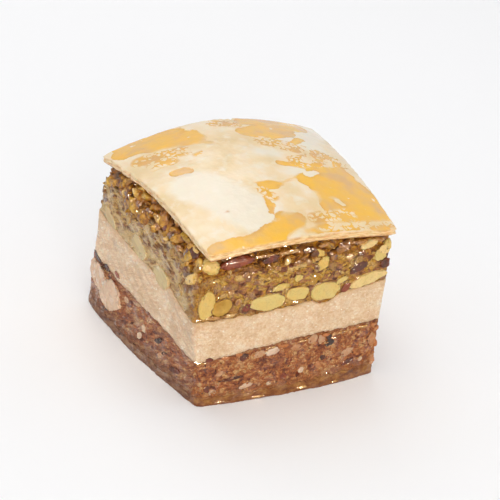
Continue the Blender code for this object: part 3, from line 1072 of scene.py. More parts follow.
# How each kernel shows at its cut: how pale it is, how much longer and taller it is than its CAD
# solid, its tilt in degrees, and how far right and up it lies from it, in mm.
KERNEL_LOOKS = {
    "front_kernel_1": (0.34, 1.2, 1.25, 4, 0.6, 0.5),
    "front_kernel_2": (0.0, 0.85, 1.15, 10, -0.5, 0.3),
    "front_kernel_3": (0.52, 1.22, 0.95, 3, 0.5, -0.1),
    "front_kernel_4": (0.42, 1.12, 0.82, 16, 0.2, 0.1),
    "front_kernel_5": (0.50, 1.22, 0.92, 2, 0.0, 0.2),
    "front_kernel_6": (0.70, 1.05, 0.80, 2, 0.4, -0.4),
    "left_kernel_1": (0.30, 1.2, 0.9, 14, -0.5, -1.0),
    "left_kernel_2": (0.45, 1.5, 1.0, 20, -0.5, -1.0),
    "left_kernel_3": (0.45, 1.8, 1.3, 18, -0.5, -1.4),
}
SKIN_THICKNESS = 0.12 * MM
SKIN_SUNK = 0.20 * MM  # the skin shrank back from the cut
CUT_PROUD = 0.05 * MM
DRAGGED_PROUD = -0.02 * MM
SQUARISH = 2.6  # 2 is a round kernel, and more is a fuller one
CORNER_ROUNDING = 0.4 * MM
CORNER_MARGIN = 0.7 * MM  # how far a kernel in the front keeps from the left face
flesh = kernel_flesh()


def papery_skin():
    """The thin skin round a kernel: dark purple-brown, seen edge on as a line."""
    material, tree, shader, place = new_material("pistachio_skin", "place")
    clouds = add(tree, "ShaderNodeTexNoise", {"Vector": place, "Scale": 1 / (1.2 * MM), "Detail": 3.0})
    colour = add(
        tree,
        "ShaderNodeValToRGB",
        {0: clouds.outputs[0]},
        stops=((0.35, "#5e3828"), (0.5, "#8a6038"), (0.65, "#aa803c")),
    )
    plug(tree, shader, {"Base Color": colour.outputs[0], "Roughness": 0.3})
    return material


skin = papery_skin()
pistachio_left = -cut_reach(pi, 20 * MM)


def smooth_kernel(node):
    """A kernel with the shape of its CAD solid, rounded everywhere but at its cut, and its skin."""
    shape = bmesh.new()
    shape.from_mesh(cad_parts[node].data)
    bmesh.ops.remove_doubles(shape, verts=shape.verts, dist=0.001 * MM)
    bmesh.ops.dissolve_limit(shape, angle_limit=radians(1), verts=shape.verts, edges=shape.edges)
    crease = shape.edges.layers.float.new("crease_edge")
    cuts = [face for face in shape.faces if len(face.verts) > 4]
    for face in cuts:
        for edge in face.edges:
            edge[crease] = 0.8
    planes = [(face.normal.copy(), face.calc_center_median()) for face in cuts]
    planes = [plane for plane, face in zip(planes, cuts) if face.calc_area() > 2 * MM**2]
    if node.startswith("front"):
        planes = [plane for plane in planes if plane[0].y < -0.7]
    tone, longer, taller, tilt, right_by, up_by = KERNEL_LOOKS.get(node, (0.4, 1.1, 1.0, 0, 0, 0))
    out = max((plane[0] for plane in planes), key=lambda way: way.xy.length)
    right = Vector((0, 0, 1)).cross(out).normalized()
    tilted = Matrix.Rotation(radians(-tilt), 3, out)
    shift = (right * right_by + Vector((0, 0, up_by))) * MM
    mesh = bpy.data.meshes.new(node)
    shape.to_mesh(mesh)
    shape.free()
    source = bpy.data.objects.new(node + "_source", mesh)
    bpy.context.scene.collection.objects.link(source)
    rounding = source.modifiers.new("rounding", "SUBSURF")
    rounding.levels = rounding.render_levels = 3
    bpy.context.view_layer.update()
    graph = bpy.context.evaluated_depsgraph_get()
    made = bpy.data.meshes.new_from_object(source.evaluated_get(graph))
    bpy.data.objects.remove(source)

    middle = sum((vertex.co for vertex in made.vertices), Vector()) / len(made.vertices)
    wide = max((vertex.co - middle).xy.length for vertex in made.vertices)
    high = max(abs(vertex.co.z - middle.z) for vertex in made.vertices)
    bare = node.startswith(("left", "back"))
    proud = DRAGGED_PROUD if bare else CUT_PROUD
    kinds = ((node + "_flesh", 0.0, proud, flesh), (node + "_skin", SKIN_THICKNESS, -SKIN_SUNK, skin))
    for name, thicker, forward, material in kinds[: 1 if bare else 2]:
        piece_mesh = made.copy()
        for vertex in piece_mesh.vertices:
            local = vertex.co - middle
            flat, tall = local.xy.length / wide, abs(local.z) / high
            local = local * hypot(flat, tall) / (flat**SQUARISH + tall**SQUARISH) ** (1 / SQUARISH)
            sideways = local.dot(right)
            local += right * sideways * (longer - 1) + Vector((0, 0, local.z * (taller - 1)))
            local = tilted @ local
            warp = 1 + 0.24 * noise.noise(vertex.co / (2.0 * MM)) + 0.08 * noise.noise(vertex.co / (0.9 * MM))
            patchy = smoothstep(-0.05, 0.3, noise.noise(vertex.co / (1.8 * MM) + Vector((4, 0, 0))))
            place = middle + shift + local * warp + local.normalized() * thicker * (2.6 * patchy - 0.8)
            for out, on_cut in planes:
                ripple = 0.05 * MM * noise.noise(place / (0.9 * MM))
                over = (place - on_cut).dot(out) - forward - ripple
                if over > 0 or (vertex.co - on_cut).dot(out) > -0.02 * MM:
                    place -= out * over
            if node.startswith("front"):
                rounded = CORNER_ROUNDING * ((place.z - middle.z) / (1.6 * MM)) ** 2
                place.x = max(place.x, pistachio_left + CORNER_MARGIN + rounded)
            vertex.co = place
        piece_mesh.name = name
        piece = placed(name, piece_mesh, material)
        set_values(piece, "tone", np.full(len(piece_mesh.vertices), tone))
        set_values(piece, "dragged", np.full(len(piece_mesh.vertices), float(bare)))
        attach(piece, "root")
        if material is flesh:
            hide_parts(node)


for node in kernel_names:
    smooth_kernel(node)

# Small bits of kernel, and beads of syrup
# Bits that broke off the kernels lie in the mash and stand out of the coarse nuts. Syrup ran out of
# the cut and set to clear amber beads under the lid's edge, in the seams and at the foot.

set_in(
    "small_bits_of_kernel",
    (
        ("front", -19.4, 26.6, 3.4, 2.2, -32, 0.60, 0.30),
        ("front", 14.8, 24.7, 2.7, 2.3, 20, 0.20, 0.45),
        ("front", 16.8, 26.2, 2.2, 2.0, 10, 0.35, 0.40),
        ("front", 12.5, 26.9, 3.4, 1.2, 15, 0.30, 0.75),
        ("front", 1.8, 26.7, 2.2, 1.3, -20, 0.20, 0.20),
        ("front", 7.2, 20.9, 2.4, 0.9, 20, 0.02, 0.45),
        ("front", -2.0, 22.6, 1.6, 1.2, 0, 0.02, 0.35),
        ("front", -5.4, 21.3, 3.2, 1.1, 10, 0.00, 0.30),
        ("front", 2.9, 24.6, 2.6, 1.7, 50, 0.05, 0.30),
    ),
    flesh,
)


def amber_syrup():
    """Syrup set to a clear amber bead, mirror bright."""
    material, tree, shader, place, tone = new_material("amber_syrup", "place", "tone")
    clouds = add(
        tree, "ShaderNodeTexNoise", {"Vector": place, "Scale": 1 / (0.8 * MM), "Detail": 4.0}
    ).outputs[0]
    colour = add(
        tree,
        "ShaderNodeValToRGB",
        {0: mixture(tree, (tone, 1.0), (clouds, 1.4), (-0.5, 1.4))},
        stops=((0.1, "#5a2c08"), (0.35, "#8f540f"), (0.6, "#b87c28"), (0.9, "#d9ad68")),
    ).outputs[0]
    bump = add(tree, "ShaderNodeBump", {"Height": clouds, "Strength": 0.7, "Distance": 0.3 * MM}).outputs[0]
    coat = {"Coat Weight": 1.0, "Coat Roughness": 0.03, "Coat Normal": bump}
    plug(tree, shader, {"Base Color": colour, "Roughness": 0.12, "Normal": bump, **coat})
    return material


set_in(
    "beads_of_syrup",
    (
        ("front", -17.6, 17.3, 3.0, 0.6, -4, 0.15, 0.55),
        ("front", -14.6, 17.4, 2.4, 0.7, 3, 0.22, 0.70),
        ("front", -9.4, 27.6, 3.4, 0.7, 4, 0.65, 0.50),
        ("front", -4.4, 27.8, 3.8, 0.8, 2, 0.65, 0.60),
        ("front", -0.2, 27.5, 2.6, 1.2, 0, 0.65, 0.15),
        ("front", 3.4, 28.0, 3.6, 0.8, 0, 0.65, 0.60),
        ("front", 6.9, 27.4, 2.6, 1.0, -10, 0.65, 0.40),
        ("front", 10.4, 27.6, 3.6, 0.8, -4, 0.65, 0.55),
        ("front", 8.4, 25.2, 1.6, 1.0, 10, 0.25, 0.65),
        ("front", 14.6, 27.4, 3.0, 0.8, -6, 0.65, 0.65),
        ("front", -2.6, 25.4, 1.6, 0.9, 20, 0.15, 0.50),
        ("front", -6.4, 25.0, 1.5, 0.8, -20, 0.15, 0.55),
        ("front", 4.9, 25.6, 1.3, 1.0, 0, 0.20, 0.35),
        ("front", -12.6, 24.6, 1.4, 1.0, 20, 0.15, 0.45),
        ("front", -10.2, 23.0, 1.2, 0.8, 0, 0.10, 0.50),
        ("front", -13.4, 19.8, 1.3, 1.1, 30, 0.12, 0.55),
        ("front", -15.0, 21.8, 1.2, 0.9, 30, 0.12, 0.50),
        ("front", -7.2, 0.5, 2.4, 0.5, 2, 0.30, 0.60),
        ("front", 1.2, 0.7, 2.0, 0.6, 0, 0.35, 0.70),
        ("front", -14.5, 0.5, 3.0, 0.5, 0, 0.25, 0.40),
        ("front", 8.5, 0.5, 2.4, 0.5, 0, 0.25, 0.50),
        ("front", -19.5, 8.7, 2.4, 0.5, -2, 0.20, 0.45),
        ("front", -6.0, 9.9, 2.0, 0.5, 3, 0.18, 0.55),
        ("front", 0.5, 10.2, 2.4, 0.5, 3, 0.18, 0.50),
        ("front", 8.5, 10.4, 2.0, 0.5, 3, 0.20, 0.50),
        ("front", 13.0, 10.6, 2.2, 0.6, 3, 0.25, 0.55),
        ("left", -14.5, 26.2, 1.8, 1.4, 20, 0.80, 0.20),
        ("left", -11.0, 26.0, 1.4, 1.2, 0, 0.80, 0.30),
        ("left", -8.0, 27.0, 2.0, 1.2, 10, 0.80, 0.20),
        ("left", -3.0, 26.4, 1.6, 1.2, 0, 0.80, 0.45),
        ("left", 1.0, 27.6, 2.2, 1.0, 10, 0.80, 0.30),
        ("left", 5.0, 27.2, 1.5, 1.2, 0, 0.80, 0.40),
        ("left", 9.5, 27.0, 2.0, 1.2, 0, 0.80, 0.35),
        ("left", 12.5, 26.4, 1.4, 1.0, 0, 0.80, 0.50),
    ),
    amber_syrup(),
)

# Loose nuts and skins
# Chopped nuts are irregular: broken flat on some sides and rounded on others. Those near a cut
# stand out of it, or were cut through with it and lie flush.


def broken_nut(name, seed, size, squash, flats):
    """One broken piece of nut about 1 across before it is scaled: a ball with flats knocked off."""
    shape = bmesh.new()
    bmesh.ops.create_icosphere(shape, subdivisions=2, radius=0.5)
    sides = [Vector(noise.random_unit_vector()) for _ in range(flats)]
    for vertex in shape.verts:
        direction = vertex.co.normalized()
        vertex.co *= 1 + 0.35 * noise.noise(direction * 1.3 + Vector((seed * 7.1, 0, 0)))
        for number, side in enumerate(sides):
            over = vertex.co.dot(side) - (0.30 + 0.03 * number)
            if over > 0:
                vertex.co -= side * over * 0.9
        vertex.co = Vector((vertex.co.x * size[0], vertex.co.y * size[1], vertex.co.z * size[2] * squash))
    mesh = bpy.data.meshes.new(name)
    shape.to_mesh(mesh)
    shape.free()
    mesh.polygons.foreach_set("use_smooth", np.ones(len(mesh.polygons), bool))
    return bpy.data.objects.new(name, mesh)


def nut_shapes(name, count, squash, stretch, flats):
    """A collection of broken nuts to scatter. It isn't linked to the scene."""
    shapes = bpy.data.collections.new(name)
    for number in range(count):
        noise.seed_set(number + 11)
        size = (stretch * (0.9 + 0.08 * number), 1.0, 0.85)
        shapes.objects.link(broken_nut(f"{name}_{number}", number, size, squash, flats))
    return shapes


def scatter_tree():
    """Geometry Nodes that sow broken nuts over a face where its sow value is above zero."""
    tree = bpy.data.node_groups.new("sown_nuts", "GeometryNodeTree")
    tree.interface.new_socket("Geometry", in_out="INPUT", socket_type="NodeSocketGeometry")
    for name in ("Spacing", "Smallest", "Largest", "Sink", "Tumble"):
        tree.interface.new_socket(name, in_out="INPUT", socket_type="NodeSocketFloat")
    tree.interface.new_socket("Seed", in_out="INPUT", socket_type="NodeSocketInt")
    tree.interface.new_socket("Shapes", in_out="INPUT", socket_type="NodeSocketCollection")
    tree.interface.new_socket("Material", in_out="INPUT", socket_type="NodeSocketMaterial")
    tree.interface.new_socket("Geometry", in_out="OUTPUT", socket_type="NodeSocketGeometry")
    given = add(tree, "NodeGroupInput").outputs
    sow = add(tree, "GeometryNodeInputNamedAttribute", {"Name": "sow"}, data_type="FLOAT")
    density = add(tree, "ShaderNodeMath", {0: 1.6, 1: given["Spacing"]}, operation="DIVIDE")
    density = add(tree, "ShaderNodeMath", {0: density.outputs[0], 1: given["Spacing"]}, operation="DIVIDE")
    points = add(
        tree,
        "GeometryNodeDistributePointsOnFaces",
        {
            "Mesh": given["Geometry"],
            "Distance Min": given["Spacing"],
            "Density Max": density.outputs[0],
            "Density Factor": sow.outputs[0],
            "Seed": given["Seed"],
        },
        distribute_method="POISSON",
    )
    sink = add(tree, "ShaderNodeMath", {0: given["Sink"], 1: -1.0}, operation="MULTIPLY")
    inward = add(
        tree,
        "ShaderNodeVectorMath",
        {0: points.outputs["Normal"], "Scale": sink.outputs[0]},
        operation="SCALE",
    )
    sunk = add(
        tree,
        "GeometryNodeSetPosition",
        {"Geometry": points.outputs["Points"], "Offset": inward.outputs[0]},
    )
    shapes = add(
        tree,
        "GeometryNodeCollectionInfo",
        {"Collection": given["Shapes"], "Separate Children": True, "Reset Children": True},
    )
    pick = add(
        tree, "FunctionNodeRandomValue", {"Min": 0, "Max": 20, "Seed": given["Seed"]}, data_type="INT"
    )
    size = add(
        tree,
        "FunctionNodeRandomValue",
        {"Min": given["Smallest"], "Max": given["Largest"], "Seed": given["Seed"]},
        data_type="FLOAT",
    )
    least = add(tree, "ShaderNodeMath", {0: given["Tumble"], 1: -1.0}, operation="MULTIPLY")
    tilt_low = add(tree, "ShaderNodeCombineXYZ", {0: least.outputs[0], 1: least.outputs[0], 2: -pi})
    tilt_high = add(tree, "ShaderNodeCombineXYZ", {0: given["Tumble"], 1: given["Tumble"], 2: pi})
    tilt = add(
        tree,
        "FunctionNodeRandomValue",
        {"Min": tilt_low.outputs[0], "Max": tilt_high.outputs[0], "Seed": given["Seed"]},
        data_type="FLOAT_VECTOR",
    )
    copies = add(
        tree,
        "GeometryNodeInstanceOnPoints",
        {
            "Points": sunk.outputs[0],
            "Instance": shapes.outputs[0],
            "Pick Instance": True,
            "Instance Index": pick.outputs["Value"],
            "Rotation": points.outputs["Rotation"],
            "Scale": size.outputs["Value"],
        },
    )
    tumbled = add(
        tree,
        "GeometryNodeRotateInstances",
        {"Instances": copies.outputs[0], "Rotation": tilt.outputs["Value"]},
    )
    tone = add(tree, "FunctionNodeRandomValue", {"Min": 0.0, "Max": 1.0, "Seed": 5}, data_type="FLOAT")
    toned = add(
        tree,
        "GeometryNodeStoreNamedAttribute",
        {"Geometry": tumbled.outputs[0], "Name": "tone", "Value": tone.outputs["Value"]},
        data_type="FLOAT",
        domain="INSTANCE",
    )
    real = add(tree, "GeometryNodeRealizeInstances", {"Geometry": toned.outputs[0]})
    painted = add(tree, "GeometryNodeSetMaterial", {"Geometry": real.outputs[0], "Material": given["Material"]})
    add(tree, "NodeGroupOutput", {"Geometry": painted.outputs[0]})
    return tree


sown_nuts = scatter_tree()


def sown(name, layer, sow, slot, **inputs):
    """A piece of many nuts, sown over a copy of a layer's cut."""
    ground = bpy.data.objects.new(name, layer.data.copy())
    bpy.context.scene.collection.objects.link(ground)
    set_values(ground, "sow", sow)
    grown(ground, sown_nuts, **inputs)
    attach(ground, "root")
    return ground


def cut_off(piece, proud, smeared):
    """Cuts a piece off where it stands out of the cut, and keeps it below the top of the lid's edge.

    It stores how deep behind the cut each point is, which the material reads to paint shade into the hollows.
    """
    points = places_of(piece)
    turn = np.arctan2(points[:, 1], points[:, 0]) % tau
    reach = reach_at(turn, points[:, 2])
    out = np.linalg.norm(points[:, :2], axis=1)
    columns = np.append(turns, tau)
    side = np.interp(turn, columns, np.append(on_left, on_left[0]))
    most = reach + proud * (1 + side)
    share = np.minimum(out, most) / out
    points[:, :2] *= share[:, None]
    roof = np.interp(turn, columns, np.append(lid_underside, lid_underside[0]))
    points[:, 2] = np.minimum(points[:, 2], roof + (0.1 + 0.7 * side) * MM)
    piece.data.vertices.foreach_set("co", points.ravel())
    piece.data.update()
    set_values(piece, "deep", np.clip((reach - out) / MM, -1, 2))
    set_values(piece, "dragged", side * smeared)


def fused(piece, voxel):
    """Runs touching nuts into one body, as syrup does, and keeps each nut's own tone."""
    before = BVHTree.FromObject(piece, bpy.context.evaluated_depsgraph_get())
    tones = numbers_of(piece, "tone")
    corners = [polygon.vertices[0] for polygon in piece.data.polygons]
    melt = piece.modifiers.new("melt", "REMESH")
    melt.mode = "VOXEL"
    melt.voxel_size = voxel
    smooth = piece.modifiers.new("smooth", "SMOOTH")
    smooth.factor = 0.5
    smooth.iterations = 2
    bpy.context.view_layer.update()
    made = bpy.data.meshes.new_from_object(piece.evaluated_get(bpy.context.evaluated_depsgraph_get()))
    piece.modifiers.clear()
    settle(piece, made, piece.data.materials[0])
    found = [before.find_nearest(vertex.co)[2] for vertex in made.vertices]
    set_values(piece, "tone", [tones[corners[index]] for index in found])


def chopped_nut(name, stops, syrup, hollow_shade, coat, smeared):
    """Chopped pistachio: each piece has its own tone, and painted shade darkens it in the hollows behind the cut
    and in its pits.
    """
    material, tree, shader, place, tone, deep = new_material(name, "place", "tone", "deep")
    clouds = add(
        tree, "ShaderNodeTexNoise", {"Vector": place, "Scale": 1 / (1.1 * MM), "Detail": 5.0, "Roughness": 0.65}
    ).outputs[0]
    mixed = mixture(tree, (tone, 1.0), (clouds, 1.1), (-0.5, 1.1))
    colour = add(tree, "ShaderNodeValToRGB", {0: mixed}, stops=stops).outputs[0]
    colour = tinted(tree, colour, syrup, deep, -0.35, 0.25, 0.9)
    pits = add(
        tree, "ShaderNodeTexNoise", {"Vector": place, "Scale": 1 / (0.7 * MM), "Detail": 4.0, "Roughness": 0.7}
    ).outputs[0]
    pit = add(tree, "ShaderNodeMapRange", {"Value": pits, "From Min": 0.45, "From Max": 0.36, "To Max": 0.8})
    # Painted shade: darker the deeper behind the cut, and in the pits of the bump.
    shade = add(tree, "ShaderNodeMapRange", {"Value": deep, "From Min": 0.25, "From Max": 0.9, "To Max": 0.95})
    shade = add(tree, "ShaderNodeMath", {0: shade.outputs[0], 1: pit.outputs[0]}, operation="MAXIMUM")
    shaded = add(tree, "ShaderNodeMix", {0: shade.outputs[0], 6: colour, 7: linear(hollow_shade)}, data_type="RGBA")
    colour = shaded_and_dragged_over(tree, shaded.outputs[2], "#b5904e", smeared)
    gloss = add(
        tree,
        "ShaderNodeMapRange",
        {"Value": pits, "From Min": 0.35, "From Max": 0.65, "To Min": 0.3, "To Max": 0.6},
    ).outputs[0]
    bump = add(tree, "ShaderNodeBump", {"Height": pits, "Strength": 0.8, "Distance": 0.4 * MM}).outputs[0]
    syrup_film(tree, shader, coat, 1.6 * MM)
    plug(tree, shader, {"Base Color": colour, "Roughness": gloss, "Normal": bump})
    return material


rise = numbers_of(pistachio_layer, "rise")
wall = numbers_of(pistachio_layer, "wall")
places = places_of(pistachio_layer)
near_kernel = np.array([(kernels_tree.find_nearest(place, 1.5 * MM)[3] or 1.5 * MM) for place in places])
clear_of_kernels = smoothstep(0.5 * MM, 1.1 * MM, near_kernel)
chopped_nuts = nut_shapes("chopped_nut", 8, 0.75, 1.4, 5)
on_side = np.interp(numbers_of(pistachio_layer, "along"), *side_by_length)
coarse_zone = smoothstep(COARSE_START - 0.12 * on_side, COARSE_START + 0.12, rise) * (wall > 0)
coarse_nuts = sown(
    "coarse_pistachios",
    pistachio_layer,
    coarse_zone * (0.45 + 0.55 * on_side),
    "ground_pistachio",
    spacing=1.15 * MM,
    smallest=1.2 * MM,
    largest=2.8 * MM,
    sink=-0.10 * MM,
    tumble=pi,
    seed=3,
    shapes=chopped_nuts,
    material=chopped_nut(
        "syrupy_pistachio",
        (
            (0.05, "#6b3604"),
            (0.22, "#bc8216"),
            (0.38, "#d8a246"),
            (0.50, "#946212"),
            (0.64, "#b88c1e"),
            (0.80, "#dcaa44"),
            (0.97, "#ecc67c"),
        ),
        "#aa6606",
        "#4a2204",
        0.8,
        0.0,
    ),
)
fused(coarse_nuts, SPACING)
cut_off(coarse_nuts, 0.45 * MM, 0.0)
fragments = sown(
    "cut_fragments",
    pistachio_layer,
    (wall > 0) * clear_of_kernels * (1 - coarse_zone) * (rise > 0.04) * (1 - 0.6 * on_side),
    "ground_pistachio",
    spacing=1.9 * MM,
    smallest=0.9 * MM,
    largest=3.0 * MM,
    sink=0.35 * MM,
    tumble=pi,
    seed=8,
    shapes=chopped_nuts,
    material=chopped_nut(
        "cut_pistachio_fragment",
        (
            (0.05, "#805040"),
            (0.22, "#a37642"),
            (0.40, "#bd9250"),
            (0.55, "#9c6c4a"),
            (0.70, "#c0923e"),
            (0.86, "#d2ac66"),
            (0.98, "#6f4030"),
        ),
        "#9c6418",
        "#4d2a16",
        0.5,
        0.9,
    ),
)
cut_off(fragments, 0.04 * MM, 1.0)

# Glazed lid
# A stack of phyllo leaves brushed with butter and baked, then glazed with syrup, which left amber
# pools where it soaked in and cream blisters where it did not.

LID_CELLS = 240
LEAVES = 6
ROWS_PER_LEAF = 5
RIM_INSET = 0.55 * MM
ROUNDED_WIDTH = 0.7 * MM
ROUNDED_DROP = 0.40 * MM
NOTCH_TURNS = 1.36, 1.42  # angles from the right to the notch's deep and shallow ends

lid_tree = search_tree("top_pastry")
lid_low, lid_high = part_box("top_pastry")


def lid_outline():
    """How far the lid reaches towards each of the columns of its rim."""
    heights = np.arange(lid_low.z, lid_high.z, 0.25 * MM)
    reaches = []
    for turn in range(TURNS):
        way = Vector((cos(tau * turn / TURNS), sin(tau * turn / TURNS), 0))
        hits = [lid_tree.ray_cast(way * FAR + Vector((0, 0, z)), -way)[0] for z in heights]
        reaches.append(max(hit.dot(way) for hit in hits if hit))
    return np.array(reaches)


def lid_height(x, y, upward):
    """Height of the lid's top over a point or, looking upward, of its underside."""
    way = Vector((0, 0, 1 if upward else -1))
    hit = lid_tree.ray_cast(Vector((x, y, 0 if upward else FAR)), way)[0]
    return hit.z if hit else None


def underside(turn, reach):
    """Height of the lid's underside at a reach, or a little further in where it is all rounding."""
    while (height := lid_height(reach * cos(turn), reach * sin(turn), True)) is None:
        reach -= 0.3 * MM
    return height


def lid_ring(turn):
    """The lid's reach towards an angle."""
    return np.interp(turn % tau, np.linspace(0, tau, TURNS + 1), np.append(lid_reach, lid_reach[0]))


def torn(reaches):
    """Reaches with the ragged outline of torn leaves, and a notch where one flaked off at the back."""
    turn = np.linspace(0, tau, TURNS, endpoint=False)
    wave = [noise.fractal(Vector((cos(t) * 14, sin(t) * 14, 2.0)), 0.9, 2.0, 4) for t in turn]
    roughly = smoothstep(-0.9, 0.1, np.sin(turn + 0.5))
    notch = smoothstep(0.022, 0.012, abs(turn - NOTCH_TURNS[0]))
    notch = notch + 0.5 * smoothstep(0.05, 0.0, abs(turn - NOTCH_TURNS[1]))
    return reaches + (0.30 * np.array(wave) * roughly - 0.75 * notch) * MM


lid_reach = torn(lid_outline())

# Pools of syrup: the two ends of each one's middle line and its half width, in mm. The dry leaves
# that stand out of the pools are given in the same way.
POOLS = (
    ((-18.5, 17.0), (-7.0, 15.0), 2.6),
    ((-18.0, 19.5), (-8.0, 18.5), 1.8),
    ((-14.0, 14.5), (-6.5, 13.0), 2.6),
    ((-8.0, 12.0), (-5.0, 10.2), 1.1),
    ((4.0, 12.0), (17.0, 17.0), 2.6),
    ((6.0, 18.0), (17.0, 19.2), 2.0),
    ((5.5, 9.5), (13.0, 12.5), 1.5),
    ((9.8, 6.6), (14.0, 9.8), 0.8),
    ((-15.2, 2.6), (-13.2, 2.2), 1.1),
    ((-18.0, 6.0), (-14.5, 6.2), 0.6),
    ((3.9, -0.6), (8.5, -2.2), 0.9),
    ((8.5, -2.2), (14.5, 1.4), 1.0),
    ((14.0, -1.5), (16.0, -16.0), 3.2),
    ((9.0, -8.0), (8.0, -17.0), 3.6),
    ((12.0, -5.0), (13.0, -18.0), 3.4),
    ((0.6, -6.9), (9.5, -3.2), 0.7),
    ((6.0, -6.4), (10.0, -6.0), 1.9),
    ((-4.0, -6.2), (0.5, -7.1), 0.8),
    ((-3.6, -7.4), (-1.5, -7.4), 1.2),
    ((-4.4, -10.2), (-4.4, -12.6), 0.45),
    ((-4.6, -12.6), (-5.3, -14.2), 0.5),
    ((-18.0, -20.2), (-9.0, -20.0), 1.9),
    ((-9.0, -20.0), (-2.5, -17.0), 2.3),
    ((-3.5, -16.2), (-1.5, -17.0), 1.8),
    ((-1.0, -19.8), (6.0, -19.6), 1.1),
)
DRY_LEAVES = (
    ((-5.6, -6.6), (-4.9, -6.7), 0.9),
    ((7.4, -4.6), (9.4, -3.9), 0.75),
    ((2.0, -17.4), (3.4, -17.2), 1.0),
    ((9.6, -0.4), (12.5, -0.6), 0.55),
    ((14.6, 1.4), (15.4, 1.8), 0.6),
    ((8.7, -13.0), (9.3, -14.0), 0.5),
)

# Where the glaze dried as a lace of bubbles, given in the same way.
LACE = (
    ((-18.0, 11.0), (-11.0, 9.5), 1.9),
    ((-17.0, 8.0), (-14.0, 7.0), 1.2),
    ((0.0, 18.0), (3.0, 16.5), 1.8),
    ((-9.5, 6.8), (-8.0, 7.2), 0.5),
    ((5.0, 8.0), (15.0, 3.0), 2.2),
    ((8.0, 0.0), (17.0, 1.0), 2.2),
    ((-4.0, -8.0), (-3.0, -10.5), 1.0),
    ((2.0, -17.0), (9.0, -16.5), 1.4),
    ((2.0, -19.4), (17.0, -19.6), 1.0),
)

# Where the top leaf is whiter: partly its own dried opaque white, partly a painted sheen.
MILKY_AND_SHEEN = (
    ((-14.0, -3.0), (-8.0, -14.0), 4.5),
    ((11.0, 9.0), (15.0, 6.0), 2.2),
    ((15.0, 10.0), (20.0, 16.0), 2.6),
    ((2.0, 4.0), (4.0, 3.0), 1.2),
    ((6.0, -3.0), (8.0, -5.0), 1.6),
)


def nearest_line(x, y, lines):
    """How far outside the nearest of these lines' widths each point is; inside it is below zero."""
    nearest = np.full_like(x, FAR)
    for (x1, y1), (x2, y2), half_width in lines:
        run_x, run_y = (x2 - x1) * MM, (y2 - y1) * MM
        share = ((x - x1 * MM) * run_x + (y - y1 * MM) * run_y) / (run_x**2 + run_y**2)
        share = np.clip(share, 0, 1)
        away = np.hypot(x - x1 * MM - share * run_x, y - y1 * MM - share * run_y)
        away = away - half_width * MM
        blend = np.clip(0.5 + 0.5 * (nearest - away) / (0.8 * MM), 0, 1)
        nearest = nearest * (1 - blend) + away * blend - 0.8 * MM * blend * (1 - blend)
    return nearest


def lid_top():
    """The lid's top: a grid stretched over its outline. It gives each point's distance from the rim."""
    side = np.linspace(-1, 1, LID_CELLS + 1)
    across, deep = np.meshgrid(side, side, indexing="ij")
    ring = np.maximum(abs(across), abs(deep))
    width, depth = (lid_high.x - lid_low.x) / 2, (lid_high.y - lid_low.y) / 2
    turn = np.arctan2(deep * depth, across * width)
    reach = lid_ring(turn) * ring
    x, y = reach * np.cos(turn), reach * np.sin(turn)
    inner = np.minimum(reach, lid_ring(turn) - RIM_INSET)
    top = np.zeros_like(x)
    for index in np.ndindex(x.shape):
        top[index] = lid_height(inner[index] * cos(turn[index]), inner[index] * sin(turn[index]), False)
    from_rim = lid_ring(turn) - reach
    round_off = np.clip(1 - from_rim / ROUNDED_WIDTH, 0, 1)
    top -= ROUNDED_DROP * (1 - np.sqrt(1 - 0.98 * round_off**2))
    return x, y, top, from_rim, turn


x, y, top, from_rim, lid_turn = lid_top()
wet = -nearest_line(x, y, POOLS)
dry = -nearest_line(x, y, DRY_LEAVES)
wet = np.minimum(wet, -dry)
top_points = np.stack([x, y, top], -1)
wrinkle = np.zeros_like(x)
for index in np.ndindex(x.shape):
    place = Vector((x[index], y[index], 0))
    wrinkle[index] = noise.fractal(place / (3.0 * MM), 0.9, 2.0, 4)
blister = smoothstep(0.25 * MM, -0.15 * MM, wet)
top_points[..., 2] += 0.05 * MM * blister + 0.05 * MM * wrinkle * (0.4 + 0.6 * blister)

# The rim: the grid's outer points in order round the lid.
n = LID_CELLS
order = [(i, 0) for i in range(n)] + [(n, j) for j in range(n)]
order += [(i, n) for i in range(n, 0, -1)] + [(0, j) for j in range(n, 0, -1)]
rim_i, rim_j = np.array(order).T
rim_turn = lid_turn[rim_i, rim_j]
rim_reach = lid_ring(rim_turn)
rim_top = top_points[rim_i, rim_j, 2]
rim_bottom = np.array([underside(turn, reach - 0.9 * MM) for turn, reach in zip(rim_turn, rim_reach)])
side_rows = LEAVES * ROWS_PER_LEAF
rim_rows = []
for row in range(1, side_rows + 1):
    share = 1 - row / side_rows
    leaf = min(int(share * LEAVES), LEAVES - 1)
    within = share * LEAVES - leaf
    tooth = np.array(
        [
            noise.fractal(Vector((cos(t) * 12, sin(t) * 12, leaf * 3.7)), 0.8, 2.0, 4) * 0.16
            + noise.noise(Vector((cos(t) * 3, sin(t) * 3, leaf * 2.1))) * 0.2
            for t in rim_turn
        ]
    )
    groove = 0.12 * abs(2 * within - 1) ** 3
    tucked = 0.8 * max(0.0, 1 - share / 0.5) ** 2
    reach = rim_reach + (tooth - groove - tucked - 0.12) * MM
    height = rim_bottom + (rim_top - rim_bottom) * share
    rim_rows.append(np.stack([reach * np.cos(rim_turn), reach * np.sin(rim_turn), height], -1))
inner_reach = rim_reach - 2.0 * MM
under = np.stack([inner_reach * np.cos(rim_turn), inner_reach * np.sin(rim_turn), rim_bottom], -1)
under[:, 2] = [lid_height(p[0], p[1], True) for p in under]
points = [top_points.reshape(-1, 3), *rim_rows, under, [(0, 0, lid_height(0, 0, True))]]
points = np.concatenate(points)
top_index = np.arange((n + 1) ** 2).reshape(n + 1, n + 1)
faces = np.stack([top_index[:-1, :-1], top_index[1:, :-1], top_index[1:, 1:], top_index[:-1, 1:]], -1)
faces = faces.reshape(-1, 4).tolist()
rim_count = len(order)
rings = [top_index[rim_i, rim_j]]
